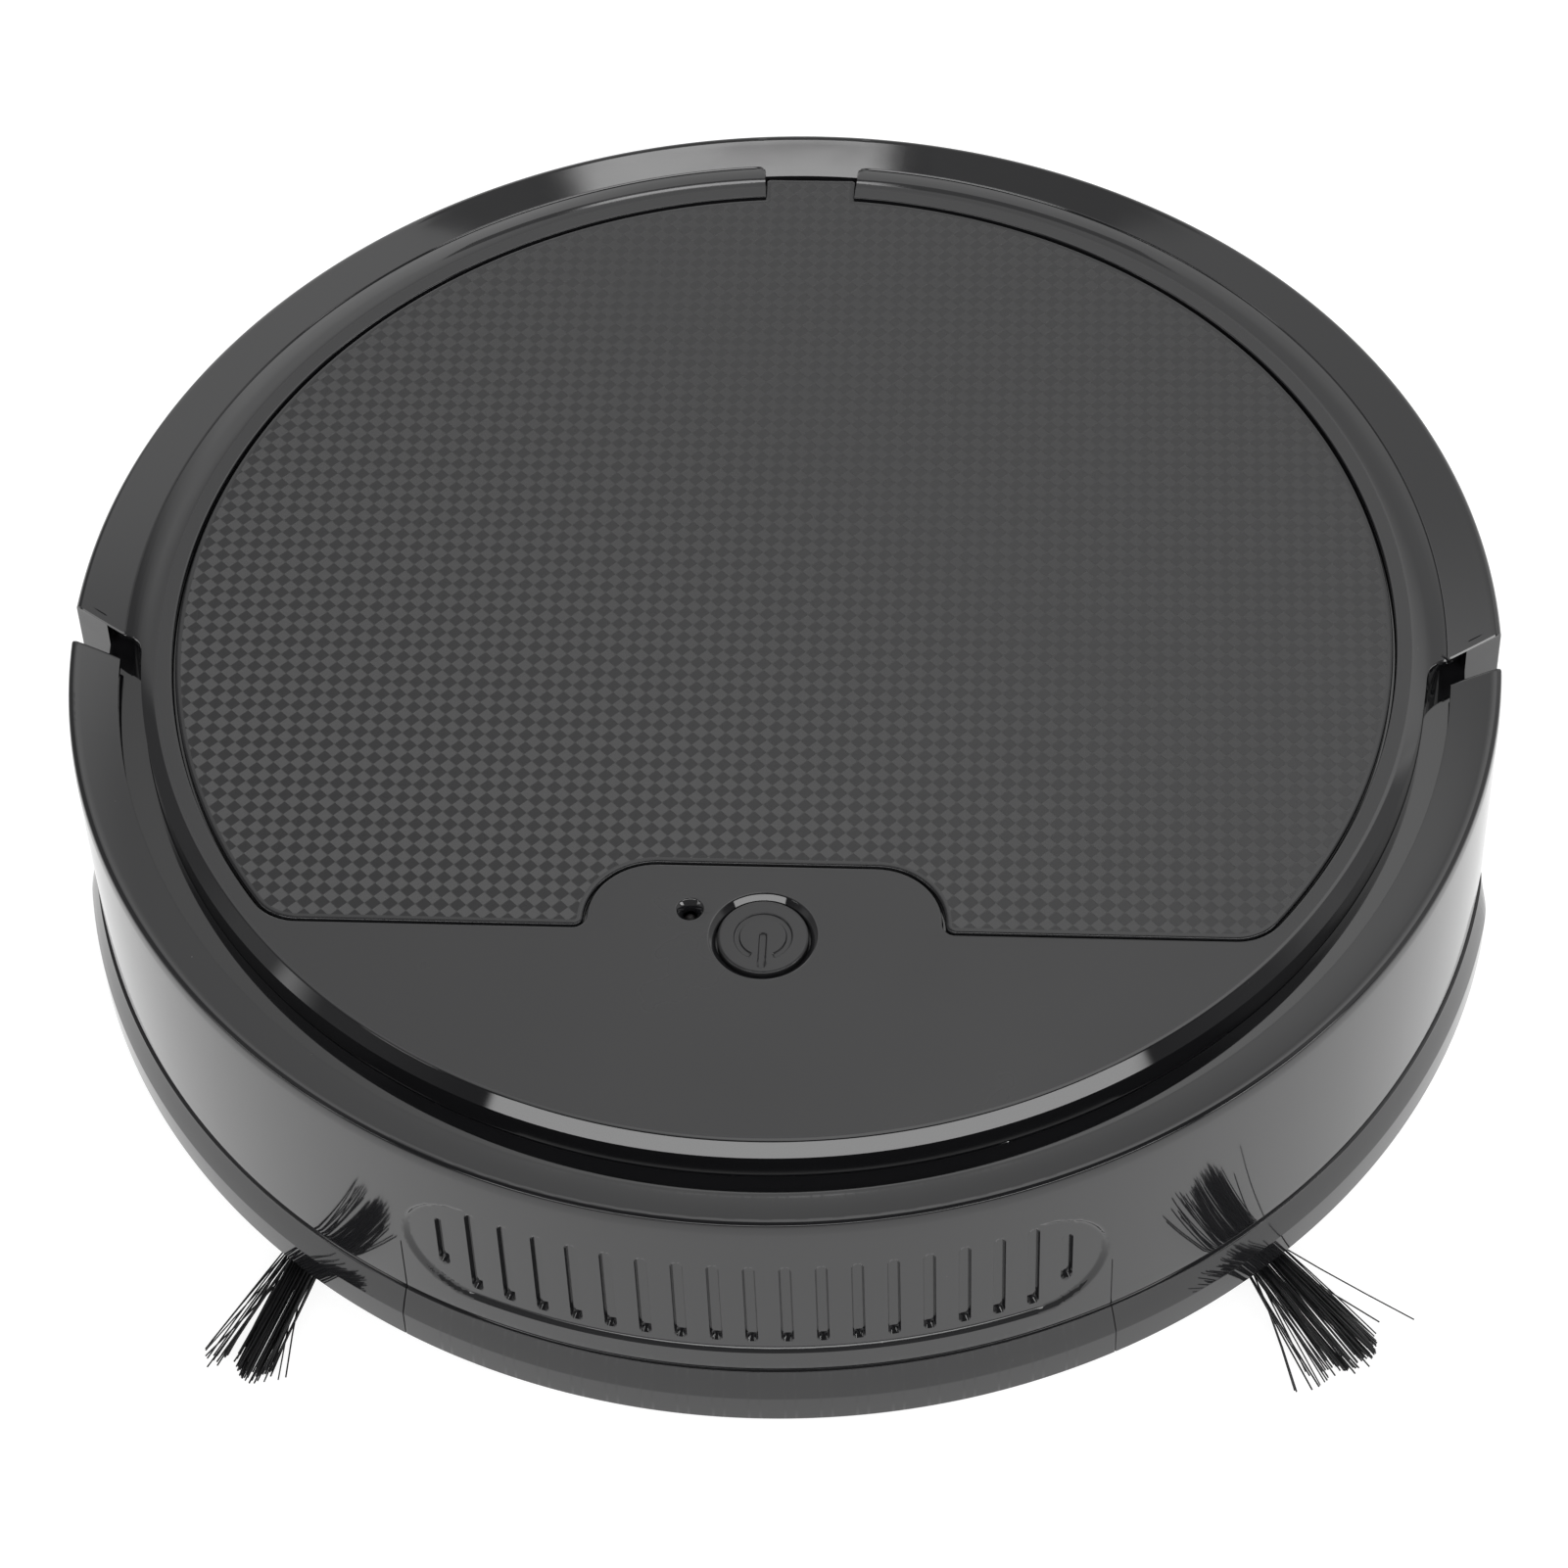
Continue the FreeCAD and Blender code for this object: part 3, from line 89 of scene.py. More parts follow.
# ---- body, from the frame ----
SKIRT_R = high("bumper_shell").x + 0.65
GROUND = low("bumper_shell").z
TOP_Z = high("upper_housing").z
BUMPER_TOP_Z = high("bumper_shell").z
BODY_R = high("upper_housing").y
BUMPER_END_Y, BUMPER_END_SLANT = -4.6, 0.315
SKIRT_Z = 15.8
LIP_R, LIP_Z = 140.4, 22.5
SKIRT_END, SKIRT_END_R = 82.6, 3.6           # where the lip dies away, and the round of its end in degrees
SPLIT_Z = low("upper_housing").z
WALL_MID_Z = 57.0               # where the upright walls have a row of points between their ends
SHELL_T = 2.4
SKIN_T = 1.7

# ---- plate and rear rim of the upper housing ----
PLATE_R = 122.9
BEVEL_R, BEVEL_Z = 125.3, 70.0
LEDGE_Z = 64.6
INNER_R = 133.0
FLANGE_R = 130.0
FLANGE_SHIFT, FLANGE_LIFT = 1.9, 0.2     # the flange's inner edge comes forward, and rises with that
FLANGE_STILL_R, FLANGE_LOW_Z = 136.5, 66.0
END_ROUND = 0.55                # radius of the bumper's two end edges
CREASE_R, CREASE_Z = 129.2, 71.1
RIM_SLOPE = 0.093
POCKET_R = 6.0
POCKET_SLOPE_IN, POCKET_SLOPE_OUT = 0.547, 0.756
POCKET_Y = -6.54
BLEND_ANGLE = 30.0
DIP_ANGLE, DIP_R, DIP_Z = 4.45, 125.75, 70.15
SCOOP_R, SCOOP_ROUND = 125.9, 2.3
LAND_DROP = 1.12                # the land behind the lid curves down this far to the crease
END_CHAMFER, END_DROP = 0.34, 0.265       # edge along the two ends of the rear rim
POCKET_LEAN = 1.6               # degrees that the pocket's wall leans back at its foot

# ---- lid ----
LID_R = 119.0
LID_FRONT = -74.7
NOTCH_HALF, NOTCH_Y, NOTCH_R, MOUTH_R = 33.6, -59.4, 13.1, 2.2
CORNER_R = 10.0
TAB_HALF, TAB_Y = 9.7, 124.6
GAP = 0.3
LID_TOP_Z, LID_LOW_Z = high("lid").z, 70.2
SEAT_W, SEAT_LOW_Z = 4.0, 67.6
LID_EDGE = [                    # how far out from the lid, and the height, down the edge of its opening
    (GAP + 0.32, TOP_Z), (GAP + 0.17, TOP_Z - 0.03), (GAP + 0.05, TOP_Z - 0.12), (GAP, TOP_Z - 0.28),
    (GAP, 71.0), (GAP, DIP_Z + 0.2), (GAP - 0.2, DIP_Z),
]
DIP_MID_R = 121.0
HINGE_Y, HINGE_Z = -87.0, 66.0
HINGE_X0, HINGE_X1 = 57.5, 66.5
NECK_R0, NECK_R1, NECK_HALF = 13.8, 17.4, 2.0       # the last is where the neck meets its barrel
BARREL_R, PIN_R = 3.0, 1.25
EAR_T, EAR_R, EAR_GAP = 2.5, 3.5, 0.4
SCREW_POSTS = ((110.0, -60.0, 63.4), (60.0, 112.0, 69.0), (30.0, -122.0, 63.4))   # x, y and top of each
POST_R, SCREW_R, SCREW_END_Z = 4.0, 1.42, 40.0

# ---- button and lamp ----
BUTTON = centre("power_button")
BUTTON_R, DISH_R = 8.6, 10.0
BUTTON_DROP = 0.1               # the cap's top below the plate
BUTTON_SKIRT, BUTTON_FLANGE = 2.6, 0.9
BUTTON_LOW_Z, BUTTON_FOOT_Z, BUTTON_FOOT_R = 67.4, 66.5, 2.5
LAMP = centre("status_led")
LAMP_R, LAMP_SINK_R = 1.4, 2.6
LAMP_DOME_Z = 68.4

# ---- grille ----
GRILLE_HALF = 27.7
GRILLE_Z0, GRILLE_Z1 = 28.7, 57.0
GRILLE_DEPTH = 0.8
SLOT_COUNT, SLOT_PITCH, SLOT_W = 19, 2.72, 2.2
SLOT_Z0, SLOT_Z1 = 31.3, 55.0
END_SLOT_Z0, END_SLOT_Z1 = 36.0, 50.0
SLOT_DEPTH = 1.0
PARTING_ANGLE, PARTING_TOP_Z, PARTING_DEPTH = 28.2, 38.0, 0.3

# ---- brushes ----
# heading of the front tuft, how far its core, wing and single stray hairs lean from there, the core's half
# fan, half the width of its root, and its reach
BRUSH = {
    "left": {"heading": 28.8, "core": 7.6, "half": 4.8, "wing": 0.8, "strays": (-5.5, -4.7, 19.5, 15.6),
             "root": 1.2, "reach": 66.0},
    "right": {"heading": 19.5, "core": -0.5, "half": 3.2, "wing": 5.6, "strays": (-6.8, -5.0, 8.8),
              "root": 2.0, "reach": 65.5},
}
TUFT_ROOT = 18.6
FILAMENTS = 104
FILAMENT_R = 0.17
STRAY_BOW = 1.3                 # how far a stray hair bends back towards the tuft
TYRE_TRIM = 10.0                # the tufts that face the wheels are this much shorter, to clear the tyres

# ---- tyres ----
TYRE_BORE_R = 24.05
LUGS, LUG_DEPTH, LUG_SLANT = 30, 1.3, 0.06      # the slant in pitches to a mm of width
GROOVE_DEPTH = 1.1              # round the middle, between the two rows of lugs

# ---- back wall ----
VENT_Z0, VENT_Z1 = 30.0, 52.0
VENT_W, VENT_PITCH, VENT_COUNT = 3.0, 6.0, 11
SOCKET_X, SOCKET_Z, SOCKET_R = -52.0, 36.0, 6.3
SOCKET_HALF, SOCKET_HALF_Z = 8.0, 10.0      # half the width and height of the patch with the socket's hole

# ---- the button's sign and the lid's checker ----
SYMBOL_R0, SYMBOL_R1 = 4.35, 5.45
SYMBOL_HALF, SYMBOL_TOP, SYMBOL_FOOT = 0.7, 0.8, -6.7
SYMBOL_OPEN = 26.0              # half of the ring's opening, in degrees
SYMBOL_DEPTH = 0.34
CHECK_PITCH = 3.2               # across the diagonal of a cell
# specular levels of the cells that shine more and less, and the one between them: the checker is the film's
# own, but the cells' difference in shine is a painted reflection, standing in for room light that the film's
# cells catch unevenly
PAINTED_SHINE_LIGHT, PAINTED_SHINE_DARK, PAINTED_SHINE_EVEN = 0.78, 0.28, 0.5

# ---- camera, in metres and degrees ----
SENSOR, LENS = 36.0, 120.6      # in millimetres
CAMERA_AT = (0.0528, -0.6703, 0.8471)
CAMERA_LOOK = (-0.0506, 0.6303, -0.7747)
CAMERA_ROLL = -2.37

# ---- floor and lamp card ----
FLOOR_GLOW, FLOOR_TONE = 0.88, 0.3
# A lamp behind the robot with a dark frame: x and z of its sides at its distance, in metres
CARD_Y, CARD_GLOW, FRAME_GLOW = 1.134, 4.2, 0.4
CARD = (-0.245, 0.022, 0.724, 0.800)
FRAME = (-0.33, 0.215, 0.640, 0.802)

# ---- room light ----
# Light from the room by direction: azimuth from and to, elevation from and to, strength and softness of
# the edges, all angles in degrees. Azimuths of the first list are from +Y, of the second from -Y, and both
# are positive towards +X.
ROOM_BACK = [
    (-30, 45, 2, 95, 0.78, 6),
    (-30, 45, 2, 32, 0.14, 4),
    (-36, -11, 2, 44, 0.40, 4),
    (-9, 60, 47, 95, 0.95, 5),
    (-40, -9, 49, 95, 0.25, 4),
    (42, 90, 3, 60, 0.62, 8),
    (-100, -30, 2, 90, 0.25, 6),
]
ROOM_FRONT = [
    (-47, 62, 37.5, 50.5, 4.9, 0.8),
    (-95, 95, -5, 36, 0.2, 6),
    (60, 82, 15, 28, 6.0, 2),
    (-82, -60, 15, 28, 2.4, 2),
    (-74, -60, 41.5, 47, 5.0, 0.8),
]
ROOM_GLOW = 0.08                # everywhere else


# ---- mesh helpers ----
def arc(cx, cy, r, start, end, steps):
    """Points on a circle round (cx, cy) between two angles in degrees."""
    points = []
    for k in range(steps + 1):
        a = math.radians(start + (end - start) * k / steps)
        points.append((cx + r * math.cos(a), cy + r * math.sin(a)))
    return points


def circle(cx, cy, r, count):
    """Even points all the way round a circle."""
    return arc(cx, cy, r, 0, 360 * (1 - 1 / count), count - 1)


def level_ring(origin, r, z, count):
    """Even points of a level circle round a vertical line."""
    return [(x, y, z) for x, y in circle(origin[0], origin[1], r, count)]


def polar(angle, r, z):
    """The point at an angle from -Y."""
    a = math.radians(angle)
    return (r * math.sin(a), -r * math.cos(a), z)


def smooth(a, b, x):
    """0 below a, 1 above b and a smooth step between them."""
    t = min(1.0, max(0.0, (x - a) / (b - a)))
    return t * t * (3 - 2 * t)


def outward(profile, closed):
    """Unit normals of an (r, z) outline, to the right of the way it runs."""
    p = np.array(profile, float)
    if closed:
        d = np.roll(p, -1, 0) - np.roll(p, 1, 0)
    else:
        d = np.gradient(p, axis=0)
    n = np.stack([d[:, 1], -d[:, 0]], 1)
    return n / np.maximum(np.linalg.norm(n, axis=1), 1e-9)[:, None]


class Skin:
    """Points in millimetres and faces of one piece."""

    def __init__(self):
        self.points, self.faces, self.marks = [], [], []

    def grid(self, rows, closed=False, mark=0, skip=None):
        """Quads between rows of points, which all have the same length."""
        start, width = len(self.points), len(rows[0])
        for row in rows:
            self.points.extend(row)
        for i in range(len(rows) - 1):
            for j in range(width if closed else width - 1):
                if skip and skip(i, j):
                    continue
                a, b = start + i * width + j, start + i * width + (j + 1) % width
                self.faces.append((a, b, b + width, a + width))
                self.marks.append(mark)

    def fill(self, *loops, mark=0):
        """Flat triangles inside the first loop and outside the others."""
        start = len(self.points)
        for loop in loops:
            self.points.extend(loop)
        for t in tessellate_polygon([[Vector(p) for p in loop] for loop in loops]):
            self.faces.append(tuple(start + k for k in t))
            self.marks.append(mark)

    def fan(self, loop, mark=0):
        """One face across a loop."""
        start = len(self.points)
        self.points.extend(loop)
        self.faces.append(tuple(range(start, start + len(loop))))
        self.marks.append(mark)

    def revolve(self, profile, origin=(0, 0), segments=64, mark=0):
        """Turns an (r, z) outline about a vertical line."""
        rows = [level_ring(origin, max(r, 0.001), z, segments) for r, z in profile]
        self.grid(rows, closed=True, mark=mark)

    def tube(self, path, radius, sides=6):
        """A round tube along a path, with its ends closed."""
        rows = []
        path = [Vector(p) for p in path]
        side = (path[1] - path[0]).orthogonal().normalized()
        for k, p in enumerate(path):
            along = (path[min(k + 1, len(path) - 1)] - path[max(k - 1, 0)]).normalized()
            side = (side - along * side.dot(along)).normalized()
            up = along.cross(side)
            ring = []
            for s in range(sides):
                a = 2 * math.pi * s / sides
                ring.append(tuple(p + (side * math.cos(a) + up * math.sin(a)) * radius))
            rows.append(ring)
        self.grid(rows, closed=True)
        self.fan(rows[0])
        self.fan(rows[-1])


def link(name, data):
    """An object in the scene that shows a mesh or a camera."""
    obj = bpy.data.objects.new(name, data)
    bpy.context.scene.collection.objects.link(obj)
    return obj


def skin_mesh(name, skin, looks):
    """A skin as a mesh in metres, with the materials of these names."""
    mesh = bpy.data.meshes.new(name)
    mesh.from_pydata([(x * MM, y * MM, z * MM) for x, y, z in skin.points], [], skin.faces)
    for face, mark in zip(mesh.polygons, skin.marks):
        face.material_index = mark
    for look in looks:
        mesh.materials.append(MATERIALS[look])
    return mesh


def piece(name, skin, body, slot, looks=(), replaces=(), weld=0.002, sharp=32, thick=0.0):
    """Turns a skin into an object that moves with a body. It looks like its slot if no looks are named."""
    mesh = skin_mesh(name, skin, looks or [slot])
    work = bmesh.new()
    work.from_mesh(mesh)
    bmesh.ops.remove_doubles(work, verts=work.verts, dist=weld * MM)
    bmesh.ops.dissolve_degenerate(work, edges=work.edges, dist=1e-7)
    bmesh.ops.recalc_face_normals(work, faces=work.faces)
    work.faces.ensure_lookup_table()
    if thick:
        highest = max(work.faces, key=lambda f: f.calc_center_median().z)
        if highest.normal.z < 0:
            bmesh.ops.reverse_faces(work, faces=work.faces)
    work.edges.index_update()
    rims = [e.index for e in work.edges if e.is_boundary]
    work.to_mesh(mesh)
    work.free()
    obj = link(name, mesh)
    if thick:
        shell = obj.modifiers.new("wall", "SOLIDIFY")
        shell.thickness = thick * MM
        shell.offset = -1
    mesh.shade_smooth()
    mesh.set_sharp_from_angle(angle=math.radians(sharp))
    for k in rims:
        mesh.edges[k].use_edge_sharp = True
    weighted = obj.modifiers.new("normals", "WEIGHTED_NORMAL")
    weighted.keep_sharp = True
    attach(obj, body)
    if replaces:
        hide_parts(*replaces)
    return obj


def soften(obj, width, angle=40, segments=2):
    """Rounds the sharp edges."""
    bevel = obj.modifiers.new("edges", "BEVEL")
    bevel.width = width * MM
    bevel.segments = segments
    bevel.limit_method = "ANGLE"
    bevel.angle_limit = math.radians(angle)
    bevel.harden_normals = False
    names = [m.name for m in obj.modifiers]
    if "normals" in names:
        obj.modifiers.move(names.index("edges"), names.index("normals"))


# ---- materials ----
class Nodes:
    """The nodes of a material or of the world, with short ways to add and join them."""

    def __init__(self, owner, space="Object"):
        owner.use_nodes = True
        self.tree = owner.node_tree
        self.place = self.tree.nodes.new("ShaderNodeTexCoord").outputs[space]

    def set(self, socket, value):
        """Joins a socket to another one, or gives it a plain value."""
        if isinstance(value, bpy.types.NodeSocket):
            self.tree.links.new(value, socket)
        elif value is not None:
            socket.default_value = value

    def add(self, kind, values, **settings):
        """A node with its settings, and with its sockets set by name or number."""
        node = self.tree.nodes.new("ShaderNode" + kind)
        for name, value in settings.items():
            setattr(node, name, value)
        for key, value in values.items():
            self.set(node.inputs[key], value)
        return node

    def calc(self, kind, a, b=None):
        return self.add("Math", {0: a, 1: b}, operation=kind).outputs[0]

    def split(self, vector):
        return self.add("SeparateXYZ", {0: vector}).outputs

    def noise(self, scale, detail=4.0, rough=0.55, vector=None):
        values = {"Vector": vector or self.place, "Scale": scale, "Detail": detail, "Roughness": rough}
        return self.add("TexNoise", values).outputs["Fac"]

    def spread(self, source, low_value, high_value, start=0.3, end=0.7, kind="LINEAR"):
        """Maps the range from start to end onto other values."""
        values = {"Value": source, "From Min": start, "From Max": end}
        values.update({"To Min": low_value, "To Max": high_value})
        return self.add("MapRange", values, interpolation_type=kind).outputs["Result"]

    def mix(self, share, a, b):
        return self.add("Mix", {0: share, 2: a, 3: b}, data_type="FLOAT").outputs[0]

    def mix_colours(self, share, a, b):
        return self.add("Mix", {0: share, 6: (*a, 1), 7: (*b, 1)}, data_type="RGBA").outputs[2]

    def bump(self, body, height, strength, distance):
        made = self.add("Bump", {"Height": height, "Strength": strength, "Distance": distance})
        self.set(body["Normal"], made.outputs["Normal"])


def surface(name, colour, rough, metallic=0.0):
    """A material with a Principled shader: the material, its nodes and the shader's sockets."""
    material = bpy.data.materials.new(name)
    nodes = Nodes(material)
    body = nodes.tree.nodes["Principled BSDF"].inputs
    body["Base Color"].default_value = (*colour, 1)
    body["Roughness"].default_value = rough
    body["Metallic"].default_value = metallic
    return material, nodes, body


def glowing(name, tone, rough, glow):
    """A dull material that shines evenly."""
    material, nodes, body = surface(name, (tone,) * 3, rough)
    body["Specular IOR Level"].default_value = 0.0
    body["Emission Color"].default_value = (1, 1, 1, 1)
    body["Emission Strength"].default_value = glow
    return material, nodes, body


def plastic(name, colour, rough, vary=0.04, grain_scale=1500.0, grain=0.1, depth=0.00001, metallic=0.0,
            tint=0.12):
    """A moulded or pressed surface: uneven gloss, faint cloudy colour and a fine grain."""
    material, nodes, body = surface(name, colour, rough, metallic)
    cloud = nodes.noise(60.0)
    nodes.set(body["Roughness"], nodes.spread(cloud, rough - vary, rough + vary))
    dark = tuple(c * (1 - tint) for c in colour)
    light = tuple(min(1.0, c * (1 + tint)) for c in colour)
    nodes.set(body["Base Color"], nodes.mix_colours(cloud, dark, light))
    nodes.bump(body, nodes.noise(grain_scale, 2.0), grain, depth)
    return material


def gloss_black():
    """Piano-black ABS: a mirror with very faint ripples and a few specks of dust."""
    black, dusty = (0.010, 0.010, 0.011), (0.10, 0.10, 0.10)
    material, nodes, body = surface("black_gloss", black, 0.08)
    body["IOR"].default_value = 1.58
    nodes.set(body["Roughness"], nodes.spread(nodes.noise(45.0), 0.03, 0.07))
    specks = nodes.add("TexVoronoi", {"Vector": nodes.place, "Scale": 160.0}).outputs["Distance"]
    few = nodes.spread(nodes.noise(90.0, 1.0), 0.0, 1.0, 0.60, 0.64)
    dust = nodes.calc("MULTIPLY", nodes.spread(specks, 1.0, 0.0, 0.02, 0.035), few)
    nodes.set(body["Base Color"], nodes.mix_colours(dust, black, dusty))
    nodes.bump(body, nodes.noise(28.0, 2.0), 0.06, 0.0004)
    return material


def satin_black():
    """The plate's top: the same plastic with a finer, duller finish."""
    material, nodes, body = surface("black_satin", (0.016, 0.016, 0.017), 0.3)
    cloud = nodes.noise(30.0)
    nodes.set(body["Roughness"], nodes.spread(cloud, 0.27, 0.33))
    nodes.set(body["Base Color"], nodes.mix_colours(cloud, (0.014, 0.014, 0.015), (0.019, 0.019, 0.020)))
    nodes.bump(body, nodes.noise(2500.0, 2.0), 0.05, 0.00001)
    return material


def checker():
    """The lid's film: a diagonal checker of cells with fine raised edges, whose cells shine more and less as
    a painted reflection.
    """
    material, nodes, body = surface("lid_film", (0.015, 0.015, 0.016), 0.35)
    side = CHECK_PITCH / math.sqrt(2) * MM
    turned = nodes.add("Mapping", {"Vector": nodes.place, "Rotation": (0, 0, math.radians(45)),
                                   "Scale": (1 / side, 1 / side, 0), "Location": (0.5, 0.5, 0)})
    across = nodes.split(turned.outputs["Vector"])
    waves = [nodes.calc("SINE", nodes.calc("MULTIPLY", across[k], math.pi)) for k in (0, 1)]
    product = nodes.calc("MULTIPLY", *waves)
    cell = nodes.spread(product, 0.0, 1.0, -0.06, 0.06)
    cloud = nodes.noise(40.0)
    rough = nodes.mix(cell, nodes.spread(cloud, 0.24, 0.28), nodes.spread(cloud, 0.26, 0.30))
    nodes.set(body["Roughness"], rough)
    # painted reflection: the cells' shine differs most at the front right of the robot and fades to a small
    # difference towards the back left, standing in for the way the room's light falls across the film
    where = nodes.split(nodes.place)
    along = nodes.calc("ADD", where["X"], nodes.calc("MULTIPLY", where["Y"], 0.9))
    painted_sheen_contrast = nodes.spread(along, 1.0, 0.14, -0.13, 0.05)
    light = nodes.spread(painted_sheen_contrast, PAINTED_SHINE_EVEN, PAINTED_SHINE_LIGHT, 0.0, 1.0)
    dark = nodes.spread(painted_sheen_contrast, PAINTED_SHINE_EVEN, PAINTED_SHINE_DARK, 0.0, 1.0)
    nodes.set(body["Specular IOR Level"], nodes.mix(cell, light, dark))
    raised = nodes.spread(nodes.calc("ABSOLUTE", product), 1.0, 0.0, 0.0, 0.1)
    nodes.bump(body, raised, 0.4, 0.00003)
    return material


def make_materials():
    """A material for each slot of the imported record, and two for the plate's top and the lid's edge."""
    return {
        "housing_gloss": gloss_black(),
        "plate_satin": satin_black(),
        "lid_checker": checker(),
        "lid_border": plastic("lid_edge", (0.012, 0.012, 0.013), 0.22, 0.02),
        "base_plastic": plastic("base_black", (0.022, 0.022, 0.023), 0.42, 0.05, 1800.0, 0.25, 0.00003),
        "steel": plastic("zinc_steel", (0.55, 0.55, 0.57), 0.32, 0.06, 900.0, metallic=1.0),
        "spring_steel": plastic("spring_wire", (0.45, 0.45, 0.47), 0.28, 0.05, 900.0, metallic=1.0),
        "motor_can": plastic("motor_can", (0.5, 0.5, 0.52), 0.36, 0.06, 700.0, metallic=1.0),
        "gear_plastic": plastic("acetal", (0.78, 0.77, 0.72), 0.38, 0.05, 1200.0, tint=0.04),
        "circuit_board": plastic("solder_mask", (0.012, 0.11, 0.05), 0.3, 0.05, 1600.0, 0.3, 0.00003),
        "switch_black": plastic("switch_black", (0.03, 0.03, 0.033), 0.4),
        "lens": plastic("lamp_lens", (0.008, 0.006, 0.006), 0.6),
        "sensor_window": plastic("infrared_window", (0.02, 0.004, 0.006), 0.06, 0.02),
        "battery_wrap": plastic("battery_wrap", (0.02, 0.08, 0.26), 0.3, 0.08, 300.0, 0.3, 0.00006),
        "bin_clear": plastic("smoked_bin", (0.06, 0.06, 0.065), 0.18, 0.04),
        "bin_cover": plastic("bin_cover", (0.035, 0.035, 0.038), 0.36, 0.05),
        "filter_paper": plastic("filter_paper", (0.78, 0.77, 0.72), 0.9, 0.05, 2200.0, 0.5, 0.00008,
                                tint=0.06),
        "rubber": plastic("soft_rubber", (0.018, 0.018, 0.018), 0.62, 0.08, 1500.0, 0.3, 0.00003),
        "tyre": plastic("tyre_rubber", (0.016, 0.016, 0.016), 0.7, 0.08, 1300.0, 0.4, 0.00005),
        "wheel_plastic": plastic("wheel_plastic", (0.05, 0.05, 0.053), 0.42, 0.05),
        "bristle": plastic("nylon_bristle", (0.010, 0.010, 0.011), 0.3, 0.05, 3000.0),
    }


# ---- bumper ----
def bumper_end_angle(r):
    """How far round the bumper reaches at a radius: its ends are cut on a slant."""
    y = BUMPER_END_Y + (r - BODY_R) * BUMPER_END_SLANT
    return math.degrees(math.acos(-y / r))


def bumper_profile():
    """Closed (r, z) section, from the foot of the skirt up the outside and back down the inside."""
    out = [(SKIRT_R - 2.1, GROUND), (SKIRT_R - 0.45, GROUND)]
    out += arc(SKIRT_R - 0.4, GROUND + 0.4, 0.4, -75, 0, 3)
    out += [(SKIRT_R, 12.5), (SKIRT_R, SKIRT_Z), (SKIRT_R - 0.03, SKIRT_Z + 0.35)]
    out += [(LIP_R + 0.87, 19.3), (LIP_R + 0.03, LIP_Z - 0.4)]
    out += arc(LIP_R - 0.2, LIP_Z - 0.2, 0.22, 0, 80, 3)
    out += [(BODY_R + 0.05, LIP_Z + 0.06), (BODY_R - 0.14, LIP_Z + 0.2), (BODY_R - 0.14, LIP_Z + 0.42)]
    out += [(BODY_R - 0.03, LIP_Z + 0.62), (BODY_R, LIP_Z + 0.9), (BODY_R, 25.0), (BODY_R, 27.0)]
    out += [(BODY_R, z) for z in wall_levels()]
    out += [(BODY_R, 59.5), (BODY_R, 63.5), (BODY_R, 66.6), (BODY_R - 0.04, 67.5), (BODY_R - 0.14, 68.3)]
    out += arc(BODY_R - 1.15, BUMPER_TOP_Z - 0.95, 0.95, 8, 48, 3)
    out += arc(BODY_R - 1.3, BUMPER_TOP_Z - 0.83, 0.85, 52, 84, 3)
    out += [(138.2, BUMPER_TOP_Z - 0.03), (137.4, BUMPER_TOP_Z - 0.14), (134.0, 68.84), (130.8, 68.14)]
    out += [(FLANGE_R + 0.03, 67.98), (FLANGE_R, 67.94)]
    out += arc(FLANGE_R + 0.3, 66.7, 0.3, 180, 270, 3)
    inner = BODY_R - SHELL_T
    out += [(inner - 0.8, 66.4), (inner, 65.6), (inner, 40.0), (inner, LIP_Z + 1.0)]
    out += [(inner + 0.1, LIP_Z - 0.2), (SKIRT_R - SHELL_T, GROUND + 0.3)]
    return out


def wall_levels():
    """Heights of the rows that carry the grille."""
    edge, count = 0.7, 74
    return [GRILLE_Z0 - edge + (GRILLE_Z1 - GRILLE_Z0 + 2 * edge) * k / count for k in range(count + 1)]


def slot_angle(k):
    """Where slot k of the grille lies."""
    return (k - (SLOT_COUNT - 1) / 2) * SLOT_PITCH


def bumper_angles():
    """Columns of the bumper: even ones, with more at the slots' edges, the parting lines and the two ends."""
    end = bumper_end_angle(BODY_R)
    millimetre = math.degrees(1 / BODY_R)       # along the wall
    angles = set()
    for k in range(SLOT_COUNT):
        for off in (0.0, 0.4, 0.72, 0.86, 0.98, 1.08, 1.18, 1.34, 1.8, 2.55):
            angles |= {slot_angle(k) - off * millimetre, slot_angle(k) + off * millimetre}
    for side in (1, -1):
        for off in (-0.35, -0.16, 0.0, 0.16, 0.35):
            angles.add(side * PARTING_ANGLE + off * millimetre)
        for k in range(18):
            angles.add(side * (slot_angle(SLOT_COUNT - 1) + 1.15 + 0.15 * k))
        for k in range(11):
            angles.add(side * (SKIRT_END - SKIRT_END_R * (1 - math.sin(math.radians(9 * k)))))
        for off in (0.0, 0.06, 0.16, 0.3, 0.5, 0.8, 1.4, 2.4):
            angles.add(side * (end - off * millimetre))
        a = PARTING_ANGLE + 1.0
        while a < end - 3 * millimetre:
            angles.add(side * a)
            a += 0.9
    kept = []
    for a in sorted(angles):
        if not kept or a - kept[-1] > 0.02:
            kept.append(a)
    return kept


def stadium(along, z, half, z0, z1):
    """Distance in mm outside a stadium that is 2 * half long and lies from z0 to z1, less than 0 inside."""
    r = (z1 - z0) / 2
    dx = max(abs(along) - (half - r), 0.0)
    return math.hypot(dx, z - (z0 + z1) / 2) - r


